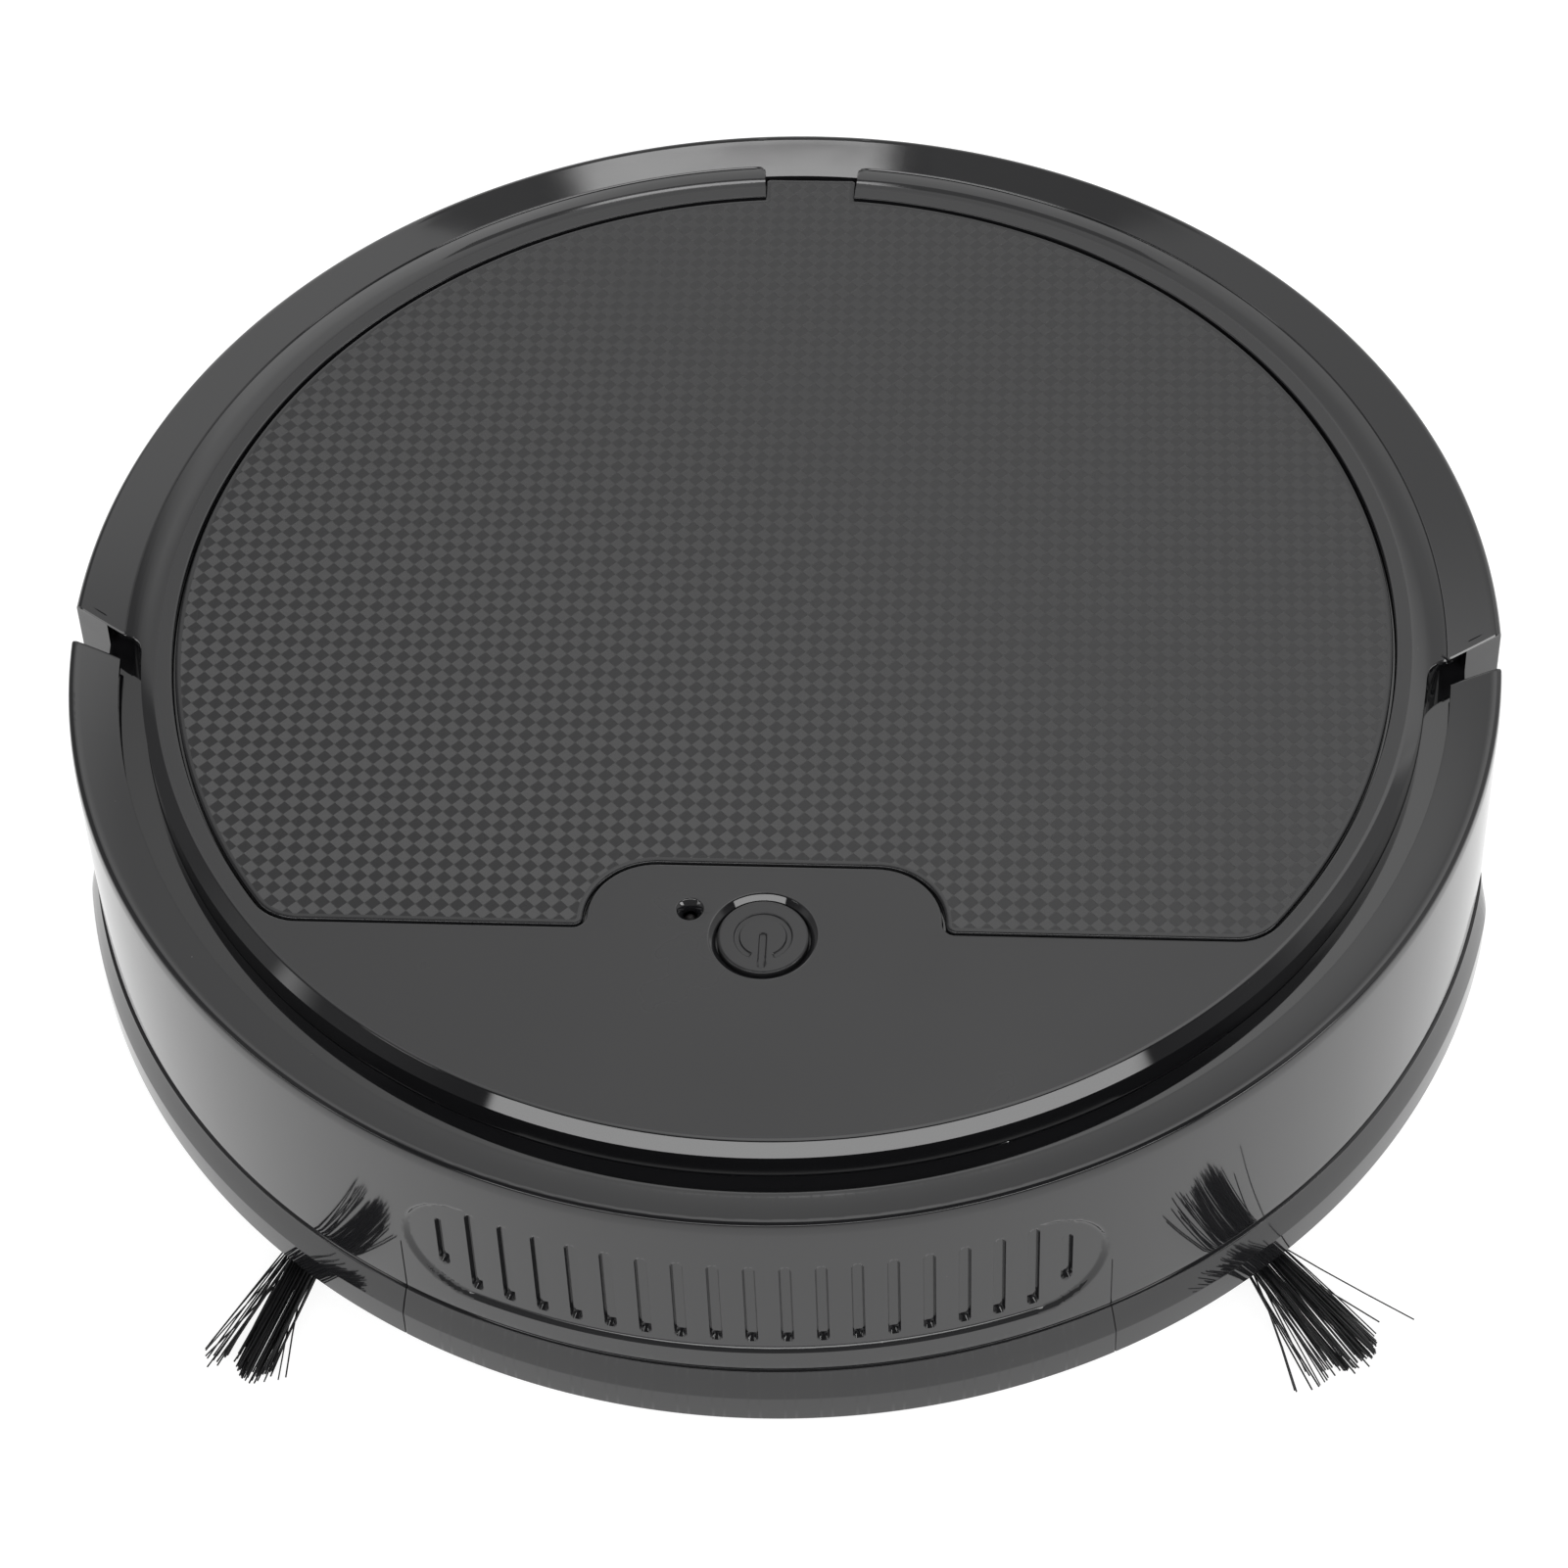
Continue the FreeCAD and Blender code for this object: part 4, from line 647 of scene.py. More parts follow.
def grille_depth(angle, z):
    """How deep the wall is pressed in at a point."""
    along = math.radians(angle) * BODY_R
    oval = stadium(along, z, math.radians(GRILLE_HALF) * BODY_R, GRILLE_Z0, GRILLE_Z1)
    depth = GRILLE_DEPTH * smooth(0.25, -0.55, oval) if oval < 0.3 else 0.0
    k = round(angle / SLOT_PITCH + (SLOT_COUNT - 1) / 2)
    if 0 <= k < SLOT_COUNT:
        ends = (END_SLOT_Z0, END_SLOT_Z1) if k in (0, SLOT_COUNT - 1) else (SLOT_Z0, SLOT_Z1)
        across = math.radians(angle - slot_angle(k)) * BODY_R
        r = SLOT_W / 2
        dz = max(ends[0] + r - z, z - ends[1] + r, 0.0)
        slot = math.hypot(across, dz) - r
        depth += SLOT_DEPTH * smooth(0.08, -0.24, slot)
    if z < PARTING_TOP_Z:
        line = abs(abs(math.radians(angle)) - math.radians(PARTING_ANGLE)) * BODY_R
        depth += PARTING_DEPTH * smooth(0.17, 0.0, line)
    return depth


def skirt_share(angle):
    """How much of the lip's stand-out is left at an angle. It ends in a quarter round."""
    into = (abs(angle) - (SKIRT_END - SKIRT_END_R)) / SKIRT_END_R
    return math.sqrt(max(0.0, 1 - max(0.0, into) ** 2))


def end_rounding(from_end):
    """How far the bumper's skin draws in near its end."""
    if from_end >= END_ROUND:
        return 0.0
    return END_ROUND - math.sqrt(END_ROUND ** 2 - (END_ROUND - from_end) ** 2)


def bumper_shell():
    """The bumper: its section swept round the front, pressed in at the grille and rounded at its ends."""
    profile = bumper_profile()
    normals = outward(profile, closed=True)
    angles = bumper_angles()
    end = bumper_end_angle(BODY_R)
    outside = max(i for i, (r, z) in enumerate(profile) if r > BODY_R - 0.2 and z < 67.0)
    rows = []
    for i, (r, z) in enumerate(profile):
        stretch = bumper_end_angle(r) / end
        inner_edge = smooth(FLANGE_STILL_R, FLANGE_R + 0.8, r) if z > FLANGE_LOW_Z else 0.0
        row = []
        for a in angles:
            out = 0.0
            if z < LIP_Z + 0.1 and r > BODY_R:
                out = -(r - BODY_R + 0.1) * (1 - skirt_share(a))
            elif inner_edge:
                out = FLANGE_SHIFT * math.cos(math.radians(a)) * inner_edge
            inset = end_rounding(math.radians(end - abs(a)) * BODY_R)
            if i <= outside:
                inset += grille_depth(a, z)
            lift = FLANGE_LIFT * out if inner_edge else 0.0
            row.append(polar(a * stretch, r + out - normals[i][0] * inset, z + lift - normals[i][1] * inset))
        rows.append(row)
    skin = Skin()
    skin.grid(rows + [rows[0]])
    for j in (0, -1):
        skin.fill([row[j] for row in rows])
    piece("bumper_cover", skin, "bumper", "housing_gloss", replaces=["bumper_shell"], sharp=38)


# ---- lid and plate outlines ----
def lid_half(off):
    """Right half of the lid's outline grown by off, from the middle of its back round to the notch."""
    r = LID_R + off
    front, half = LID_FRONT - off, NOTCH_HALF - off
    corner_y = LID_FRONT + CORNER_R
    corner_x = math.sqrt((LID_R - CORNER_R) ** 2 - corner_y ** 2)
    start = 90 - DIP_ANGLE
    end = math.degrees(math.atan2(corner_y, corner_x))
    points = [(0.0, r)] + arc(0, 0, r, 90 - DIP_ANGLE / 2, start, 1)
    points += arc(0, 0, r, start, end, 110)[1:]
    points += arc(corner_x, corner_y, CORNER_R + off, end, -90, 14)[1:]
    for x in (HINGE_X1 + 1.0, HINGE_X0 - 1.0, 50.0, 43.0):
        points.append((x, front))
    mouth = max(MOUTH_R + off, 0.3)
    points += arc(half + mouth, front + mouth, mouth, -90, -180, 8)
    top = NOTCH_Y - off
    notch = min(NOTCH_R - off, top - front - mouth)
    points += arc(half - notch, top - notch, notch, 0, 90, 16)
    points += [(12.0, top), (0.0, top)]
    return points


def whole_loop(right, z):
    """The loop of a right half and its mirror, at a height. Its first point is the middle of the back."""
    left = [(-x, y) for x, y in reversed(right[1:-1])]
    return [(x, y, z) for x, y in right + left]


def lid_loop(off, z):
    """The outline of the lid's opening, grown by off."""
    return whole_loop(lid_half(off), z)


def tab_loop(off, z):
    """The lid's own outline: the same with the finger tab at the back."""
    half, back = TAB_HALF + off, TAB_Y + off
    side_y = math.sqrt((LID_R + off) ** 2 - half ** 2)
    tab = [(0.0, back)] + arc(half - 0.8, back - 0.8, 0.8, 90, 0, 4) + [(half, side_y + 1.0), (half, side_y)]
    return whole_loop(tab + lid_half(off)[3:], z)


# ---- upper housing ----
def scoop_height(r):
    """The rear rim's slope, which is carried on inwards behind the lid's tab."""
    return CREASE_Z - RIM_SLOPE * (r - CREASE_R)


def rim_height(r):
    """Height of the rear rim's top."""
    if r <= PLATE_R:
        return TOP_Z
    foot = CREASE_R - 0.2
    if r <= foot:
        start = PLATE_R - 0.6
        return TOP_Z - LAND_DROP * (max(0.0, r - start) / (foot - start)) ** 2
    slope = scoop_height(r)
    return slope - (slope - TOP_Z + LAND_DROP) * smooth(CREASE_R + 0.05, foot, r)


def bevel_height(r):
    """Height of the plate's front bevel."""
    slope = (TOP_Z - BEVEL_Z) / (BEVEL_R - PLATE_R)
    start = PLATE_R - 0.25
    if r < start:
        return TOP_Z
    drop = slope * max(0.0, r - PLATE_R)
    return TOP_Z - max(drop, 0.11 * ((r - start) / 0.5) ** 2 if r < start + 0.5 else drop)


def rear_angle(r):
    """Where the rear rim starts at a radius, from -Y. The pocket there has a round corner."""
    q = r - BEVEL_R
    tilt = math.atan(POCKET_SLOPE_IN)
    centre_y = POCKET_Y + POCKET_SLOPE_IN * POCKET_R - POCKET_R / math.cos(tilt)
    if q <= POCKET_R * (1 - math.sin(tilt)):
        y = centre_y + math.sqrt(max(0.0, POCKET_R ** 2 - (POCKET_R - max(q, 0.0)) ** 2))
    else:
        y = POCKET_Y + POCKET_SLOPE_IN * q + (POCKET_SLOPE_OUT - POCKET_SLOPE_IN) * max(0.0, r - FLANGE_R)
    return math.degrees(math.acos(-y / r))


def plate_rows():
    """Radii from the flat plate to the foot of its bevel, which run all the way round."""
    return [122.3, 122.65, 122.8, 122.95, 123.1, 123.4, 124.2, 124.9, 125.15, 125.25, BEVEL_R]


def rim_rows():
    """(r, z) of the rear rim from the bevel's radius out, and down the wall."""
    tilt = 90 - math.degrees(math.atan(POCKET_SLOPE_IN))
    corner = [BEVEL_R + POCKET_R * (1 - math.cos(math.radians(tilt * k / 5))) for k in range(1, 6)]
    radii = sorted(corner + [DIP_R - 0.15, DIP_R, SCOOP_R, 126.0, 126.4, 126.9, 127.5, 128.0, 128.5, 128.85])
    radii += [129.0, 129.07, 129.14, 129.21, 129.26, 129.4, 130.0, 131.5, INNER_R, 134.5, 136.2, 137.8]
    rows = [(r, rim_height(r)) for r in radii]
    rows += arc(BODY_R - 1.5, rim_height(138.5) - 1.5, 1.5, 84, 0, 7)
    rows += [(BODY_R, z) for z in (66.5, LEDGE_Z, 62.0, WALL_MID_Z)]
    rows += [(BODY_R, VENT_Z1 - (VENT_Z1 - VENT_Z0) * k / 8) for k in range(9)]
    rows += [(BODY_R, z) for z in (26.0, SPLIT_Z)]
    return rows


def plate_ring_z(angle, r):
    """Height of the ring between the flat plate and the radius of the bevel's foot."""
    reach = rear_angle(BEVEL_R)
    to_rear = smooth(reach - BLEND_ANGLE, reach, abs(angle))
    return bevel_height(r) * (1 - to_rear) + rim_height(r) * to_rear


def upper_housing():
    """The top plate with its bevel, ledge and openings, and the raised rim and wall round the back."""
    skin = Skin()
    reach = rear_angle(BEVEL_R)
    front = [-reach + 2 * reach * k / 170 for k in range(171)]
    front_walls(skin, front)
    rear_columns(skin, [(r, None) for r in plate_rows()] + rim_rows())
    pocket_faces(skin, rim_rows())
    opening = lid_opening(skin)
    finger_dip(skin)
    plate_top(skin, front, opening)
    piece("upper_cover", skin, "chassis", "housing_gloss", ["housing_gloss", "plate_satin"],
          ["upper_housing"], sharp=38, thick=SKIN_T)


def front_walls(skin, front):
    """Bevel and upright edge of the plate round the front, then the ledge and the wall behind the bumper."""
    rows = [[polar(a, r, plate_ring_z(a, r)) for a in front] for r in plate_rows()]
    rows += [[polar(a, BEVEL_R, min(z, plate_ring_z(a, BEVEL_R))) for a in front] for z in (69.6, 68.0)]
    rows += [[polar(a, BEVEL_R + d, LEDGE_Z + h) for a in front] for d, h in ((0, 0.5), (0.15, 0.15))]
    skin.grid(rows)
    ledge = [BEVEL_R + 0.15] + [r for r, z in rim_rows() if BEVEL_R + 0.3 < r <= INNER_R]
    wall = [(r, LEDGE_Z) for r in ledge] + [(INNER_R, z) for z in (WALL_MID_Z, VENT_Z0, SPLIT_Z)]
    reach = rear_angle(BEVEL_R)
    skin.grid([[polar(rear_angle(r) * a / reach, r, z) for a in front] for r, z in wall])


def lid_opening(skin):
    """Edge and seat of the lid's opening. Returns the edge's top loop without the finger dip."""
    loops = [lid_loop(off, z) for off, z in LID_EDGE]
    count = len(loops[0])
    skin.grid([loop + loop[:1] for loop in loops], skip=lambda i, j: j < 2 or j >= count - 2)
    seat = [(GAP - 0.2, DIP_Z), (-SEAT_W + 0.2, DIP_Z), (-SEAT_W, DIP_Z - 0.2), (-SEAT_W, SEAT_LOW_Z)]
    hinge = hinge_gap_columns()
    skin.grid([lid_loop(off, z) + lid_loop(off, z)[:1] for off, z in seat], skip=lambda i, j: j in hinge)
    return loops[0][2:count - 1]


def finger_dip(skin):
    """Side walls and floor of the dip under the lid's tab, as far as the ring round the plate."""
    ring = plate_rows()[0]
    for side in (1, -1):
        skin.grid([[polar(side * (180 - DIP_ANGLE), r, z) for r in (LID_R + off, DIP_MID_R, ring)]
                   for off, z in LID_EDGE])
    floor = (LID_R + GAP - 0.2, DIP_MID_R, ring)
    skin.grid([[polar(180 + DIP_ANGLE * t, r, DIP_Z) for t in (-1, -0.5, 0, 0.5, 1)] for r in floor])


def plate_top(skin, front, opening):
    """The flat plate round the lid's opening, with the button's dish and the lamp's hole."""
    half = rear_half_angles()
    around = half + front[-2:0:-1] + [-a for a in reversed(half)]
    outer = [polar(a, plate_rows()[0], TOP_Z) for a in around]
    corners = [polar(side * (180 - DIP_ANGLE), DIP_MID_R, TOP_Z) for side in (-1, 1)]
    dish = [(DISH_R + 0.35, 0.0), (DISH_R + 0.12, 0.04), (DISH_R - 0.05, 0.16), (BUTTON_R + 0.48, 0.88),
            (BUTTON_R + 0.38, 1.0), (BUTTON_R + 0.32, 1.2), (BUTTON_R + 0.3, 2.4)]
    sink = [(LAMP_SINK_R + 0.15, 0.0), (LAMP_SINK_R, 0.05), (LAMP_SINK_R - 0.12, 0.18),
            (LAMP_R + 0.05, 1.2), (LAMP_R, 1.4), (LAMP_R, 2.4)]
    holes = []
    for middle, profile, count in ((BUTTON, dish, 120), (LAMP, sink, 48)):
        skin.revolve([(r, TOP_Z - depth) for r, depth in profile], middle, count)
        holes.append(level_ring(middle, profile[0][0], TOP_Z, count))
    skin.fill(outer + corners[:1] + opening[::-1] + corners[1:], *holes, mark=1)


def rear_half_angles():
    """Angles of the rear rim's columns on one side, from the middle of the back to the pocket."""
    reach = rear_angle(BEVEL_R)
    steps = (0.0, 0.03, 0.08, 0.15, 0.25, 0.37, 0.5, 0.66, 0.85, 1.05, 1.3)
    fine = [180 - DIP_ANGLE - step for step in steps]
    start = fine[-1]
    even = [start - (start - reach) * k / 90 for k in range(90)]
    edges = [column_angle(x) for x in wall_edges()]
    ends = [reach + math.degrees(d / BEVEL_R) for d in (2.2, 1.3, 0.7, END_CHAMFER, 0.0)]
    merged = [a for a in even if all(abs(a - e) > 0.12 for e in edges + ends)] + ends
    merged += [e for e in edges if e < start]
    return fine[:-1] + sorted(merged, reverse=True)


def wall_edges():
    """Distances from the middle at which the back wall is cut: the vents' sides and the socket's patch."""
    spots = []
    for k in range(VENT_COUNT // 2 + 1):
        spots += [k * VENT_PITCH - VENT_W / 2, k * VENT_PITCH + VENT_W / 2]
    return [x for x in spots if x > 0] + [abs(SOCKET_X) - SOCKET_HALF, abs(SOCKET_X) + SOCKET_HALF]


def column_angle(x):
    """The column that runs down the back wall at a distance from its middle."""
    true = 180 - math.degrees(math.asin(min(1.0, x / BODY_R)))
    reach, start = rear_angle(BEVEL_R), rear_angle(BODY_R)
    return reach + (true - start) / (360 - 2 * start) * (360 - 2 * reach)


def rear_columns(skin, rim):
    """The rim from one pocket round the back to the other, with the finger dip and the vents."""
    reach = rear_angle(BEVEL_R)
    side = rear_half_angles()
    edges = [column_angle(x) for x in reversed(wall_edges())]
    dip = [180 - DIP_ANGLE] + [a for a in edges if a > side[0]] + [180.0]
    columns = [(a, False) for a in reversed(side)] + [(a, True) for a in dip]
    columns += [(360 - a, c) for a, c in reversed(columns[:-1])]
    normals = rim_normals(rim)
    rows = []
    for i, (r, z) in enumerate(rim):
        row = []
        start = rear_angle(max(r, BEVEL_R))
        for angle, in_dip in columns:
            share = (angle - reach) / (360 - 2 * reach)
            a = start + share * (360 - 2 * start)
            height = plate_ring_z(reach, r) if z is None else z
            if in_dip and r < DIP_R:
                height = DIP_Z
            elif DIP_R <= r < CREASE_R + 0.2:
                scoop = scoop_height(r)
                edge = scoop_edge(angle)
                height += (scoop - height) * smooth(edge - 0.12, edge + 0.12, r)
            from_end = max(0.0, math.radians(min(a - start, 360 - start - a)) * r)
            inset = 0.0
            if z is not None and from_end < END_CHAMFER:
                inset = END_DROP * (1 - from_end / END_CHAMFER) * smooth(BEVEL_R, BEVEL_R + 0.8, r)
            row.append(polar(a, r - normals[i][0] * inset, height - normals[i][1] * inset))
        rows.append(row)
    vents, patch = back_openings(rows)
    skin.grid(rows, skip=lambda i, j: (i, j) in vents or (i, j) in patch)
    socket_patch(skin, rows, patch)


def back_openings(rows):
    """Cells of the rear wall that fall in a vent, and those round the socket."""
    vents, patch = set(), set()
    for i in range(len(rows) - 1):
        for j in range(len(rows[0]) - 1):
            a, b = rows[i][j], rows[i + 1][j + 1]
            x, y, z = [(p + q) / 2 for p, q in zip(a, b)]
            if y < 0 or math.hypot(x, y) < BODY_R - 0.3 or not SPLIT_Z < z < VENT_Z1:
                continue
            across = abs(x - VENT_PITCH * round(x / VENT_PITCH))
            if z > VENT_Z0 and across < VENT_W / 2 and abs(x) < VENT_PITCH * VENT_COUNT / 2:
                vents.add((i, j))
            if abs(x - SOCKET_X) < SOCKET_HALF and abs(z - SOCKET_Z) < SOCKET_HALF_Z:
                patch.add((i, j))
    return vents, patch


def socket_patch(skin, rows, patch):
    """The wall round the charging socket's hole."""
    (i0, j0), (i1, j1) = min(patch), max(patch)
    i1, j1 = i1 + 1, j1 + 1
    loop = [rows[i0][j] for j in range(j0, j1)] + [rows[i][j1] for i in range(i0, i1)]
    loop += [rows[i1][j] for j in range(j1, j0, -1)] + [rows[i][j0] for i in range(i1, i0, -1)]
    hole = []
    for x, z in circle(SOCKET_X, SOCKET_Z, SOCKET_R, 48):
        hole.append((x, math.sqrt(BODY_R ** 2 - x ** 2), z))
    skin.fill(loop, hole)


def scoop_edge(angle):
    """Radius where the land gives way to the rim's slope: it comes in round the tab with round corners."""
    beyond = math.radians(abs(180 - angle) - DIP_ANGLE) * DIP_R
    if beyond <= 0:
        return SCOOP_R - 0.2
    if beyond >= SCOOP_ROUND:
        return CREASE_R
    rise = math.sqrt(1 - (1 - beyond / SCOOP_ROUND) ** 2)
    return SCOOP_R - 0.2 + (CREASE_R - SCOOP_R + 0.2) * rise


def rim_normals(rim):
    """Unit normals of the rear rim's section."""
    heights = [(r, plate_ring_z(rear_angle(BEVEL_R), r) if z is None else z) for r, z in rim]
    return -outward(heights, closed=False)


def pocket_faces(skin, rim):
    """The upright faces at the two ends of the rear rim."""
    normals = rim_normals(rim)
    for side in (1, -1):
        top = []
        for (r, z), n in zip(rim, normals):
            inset = END_DROP * smooth(BEVEL_R, BEVEL_R + 0.8, r)
            top.append((side * rear_angle(r), r - n[0] * inset, z - n[1] * inset, r))
        upper = [t for t in top if t[3] < BODY_R - 1e-6 and t[3] <= INNER_R]
        rows = [[polar(a, r, z) for a, r, z, _ in upper]]
        foot = [a + side * POCKET_LEAN * smooth(BEVEL_R, BEVEL_R + 3.0, full) for a, r, _, full in upper]
        for share, z in ((0.6, LEDGE_Z + 2.0), (1.0, LEDGE_Z)):
            row = []
            for (a, r, _, full), low_a in zip(upper, foot):
                row.append(polar(a + (low_a - a) * share, full, z))
            rows.append(row)
        skin.grid(rows)
        skin.grid([[polar(a, full, LEDGE_Z) for a, _, _, full in upper], rows[-1]])
        skin.fan([row[-1] for row in rows] + [polar(upper[-1][0], INNER_R, LEDGE_Z)])
        edge = [polar(a, r, z) for a, r, z, full in top if full >= INNER_R]
        a = side * rear_angle(INNER_R)
        inner = [polar(a, INNER_R, z) for z in (SPLIT_Z, VENT_Z0, WALL_MID_Z, LEDGE_Z)]
        skin.fill(edge + inner)


def hinge_gap_columns():
    """Which steps of the lid's outline cross the openings for its hinge arms."""
    loop = lid_loop(0.0, 0.0)
    found = set()
    for j, (a, b) in enumerate(zip(loop, loop[1:] + loop[:1])):
        if a[1] < LID_FRONT + 1 and HINGE_X0 < abs(a[0] + b[0]) / 2 < HINGE_X1:
            found.add(j)
    return found


# ---- lid ----
def lid_panel():
    """The lid: the film inside a smooth border, its edge and its underside."""
    skin = Skin()
    rows = [(-1.2, LID_LOW_Z), (-0.75, LID_LOW_Z), (-GAP - 0.08, LID_LOW_Z + 0.06), (-GAP, LID_LOW_Z + 0.25),
            (-GAP, LID_TOP_Z - 0.6), (-GAP - 0.05, LID_TOP_Z - 0.33), (-GAP - 0.18, LID_TOP_Z - 0.14),
            (-GAP - 0.4, LID_TOP_Z - 0.03), (-GAP - 0.7, LID_TOP_Z)]
    skin.grid([tab_loop(off, z) for off, z in rows], closed=True, mark=1)
    border = tab_loop(-1.45, LID_TOP_Z)
    skin.grid([tab_loop(rows[-1][0], LID_TOP_Z), border], closed=True, mark=1)
    skin.fill(border, mark=0)
    skin.fill(tab_loop(rows[0][0], LID_LOW_Z), mark=1)
    piece("lid_panel", skin, "lid", "lid_checker", ["lid_checker", "lid_border"], ["lid"], sharp=40)


def neck_outline():
    """(y, z) outline of a hinge arm: down from the lid, round under the plate's edge and up to its barrel."""
    lean = math.degrees(math.asin(NECK_HALF / NECK_R1))
    lean_in = math.degrees(math.asin(NECK_HALF / NECK_R0))
    spread_angle = math.degrees(math.asin(NECK_HALF / BARREL_R))
    points = [(HINGE_Y + NECK_R1, LID_LOW_Z + 0.3)]
    points += arc(HINGE_Y, HINGE_Z, NECK_R1, 0, -90 - lean, 18)
    points += arc(HINGE_Y, HINGE_Z, BARREL_R, -90 - spread_angle, -450 + spread_angle, 20)
    points += arc(HINGE_Y, HINGE_Z, NECK_R0, -90 + lean_in, 0, 14)
    points.append((HINGE_Y + NECK_R0, LID_LOW_Z + 0.3))
    return points


def eyed_plate(skin, outline, eye, x0, x1):
    """An upright plate from x0 to x1 with a (y, z) outline and a hole through it."""
    walls = [[(x, y, z) for y, z in outline] for x in (x0, x1)]
    holes = [[(x, y, z) for y, z in eye] for x in (x0, x1)]
    skin.grid(walls, closed=True)
    skin.grid(holes, closed=True)
    for wall, hole in zip(walls, holes):
        skin.fill(wall, hole)


def lid_arms():
    """The two arms that carry the lid on its pins."""
    skin = Skin()
    eye = circle(HINGE_Y, HINGE_Z, PIN_R, 24)
    for side in (1, -1):
        eyed_plate(skin, neck_outline(), eye, side * HINGE_X0, side * HINGE_X1)
    soften(piece("lid_hinge_arms", skin, "lid", "base_plastic"), 0.35)


def hinge_ears():
    """The four ears under the plate that carry the lid's pins, and the screw posts of the upper housing."""
    skin = Skin()
    outline = arc(HINGE_Y, HINGE_Z, EAR_R, 180, 360, 12)
    outline += [(HINGE_Y + EAR_R, TOP_Z - 2.0), (HINGE_Y - EAR_R, TOP_Z - 2.0)]
    eye = circle(HINGE_Y, HINGE_Z, PIN_R, 18)
    foot = SPLIT_Z + 3
    for side in (1, -1):
        for x0 in (HINGE_X0 - EAR_GAP - EAR_T, HINGE_X1 + EAR_GAP):
            eyed_plate(skin, outline, eye, side * x0, side * (x0 + EAR_T))
        for x, y, top in SCREW_POSTS:
            skin.revolve([(SCREW_R, foot), (POST_R, foot), (POST_R, top), (0, top)], (side * x, y), 24)
            skin.revolve([(SCREW_R, foot), (SCREW_R, SCREW_END_Z), (0, SCREW_END_Z)], (side * x, y), 24)
    piece("hinge_ears_and_posts", skin, "chassis", "base_plastic")


# ---- button ----
def symbol_distance(x, y):
    """Distance outside the power sign: a ring open towards the front, with an upright bar from its middle."""
    r, a = math.hypot(x, y), math.degrees(math.atan2(x, -y))
    ring = abs(r - (SYMBOL_R0 + SYMBOL_R1) / 2) - (SYMBOL_R1 - SYMBOL_R0) / 2
    gap = math.radians(SYMBOL_OPEN - abs(a)) * r
    ring = max(ring, gap)
    over = max(y - (SYMBOL_TOP - SYMBOL_HALF), SYMBOL_FOOT - y, 0.0)
    return min(ring, math.hypot(x, over) - SYMBOL_HALF)


def power_button():
    """The button's cap: a slightly crowned top with the sign pressed in, and its skirt and foot."""
    skin = Skin()
    top, flat_r, middle_r = TOP_Z - BUTTON_DROP, BUTTON_R - 0.7, 0.02
    steps, columns = 74, 176
    rows = []
    for i in range(steps + 1):
        r = middle_r + (flat_r - middle_r) * i / steps
        ring = []
        for x, y in circle(0, 0, r, columns):
            sunk = SYMBOL_DEPTH * smooth(0.07, -0.13, symbol_distance(x, y))
            ring.append((BUTTON.x + x, BUTTON.y + y, top - 0.05 * (r / flat_r) ** 2 - sunk))
        rows.append(ring)
    edge = arc(BUTTON_R - 0.6, top - 0.65, 0.6, 84, 0, 6)
    flange_r, flange_z = BUTTON_R + BUTTON_FLANGE, TOP_Z - BUTTON_SKIRT
    side = edge + [(BUTTON_R, flange_z), (flange_r, flange_z), (flange_r, BUTTON_LOW_Z)]
    side += [(BUTTON_FOOT_R, BUTTON_LOW_Z), (BUTTON_FOOT_R, BUTTON_FOOT_Z + 0.1)]
    side += [(BUTTON_FOOT_R - 0.1, BUTTON_FOOT_Z), (middle_r, BUTTON_FOOT_Z)]
    rows += [level_ring(BUTTON, r, z, columns) for r, z in side]
    skin.grid(rows, closed=True)
    skin.fan(rows[0])
    skin.fan(rows[-1])
    piece("power_button_cap", skin, "power_button", "housing_gloss", ["plate_satin"],
          ["power_button"], sharp=45)


def status_lamp():
    """The lamp's dark lens, set deep in its hole."""
    skin = Skin()
    foot = low("status_led").z
    dome = arc(0, LAMP_DOME_Z, LAMP_R - 0.05, 0, 90, 6)
    skin.revolve([(0, foot), (LAMP_R - 0.05, foot)] + dome, LAMP, 32)
    piece("status_lamp", skin, "chassis", "lens", replaces=["status_led"], sharp=50)


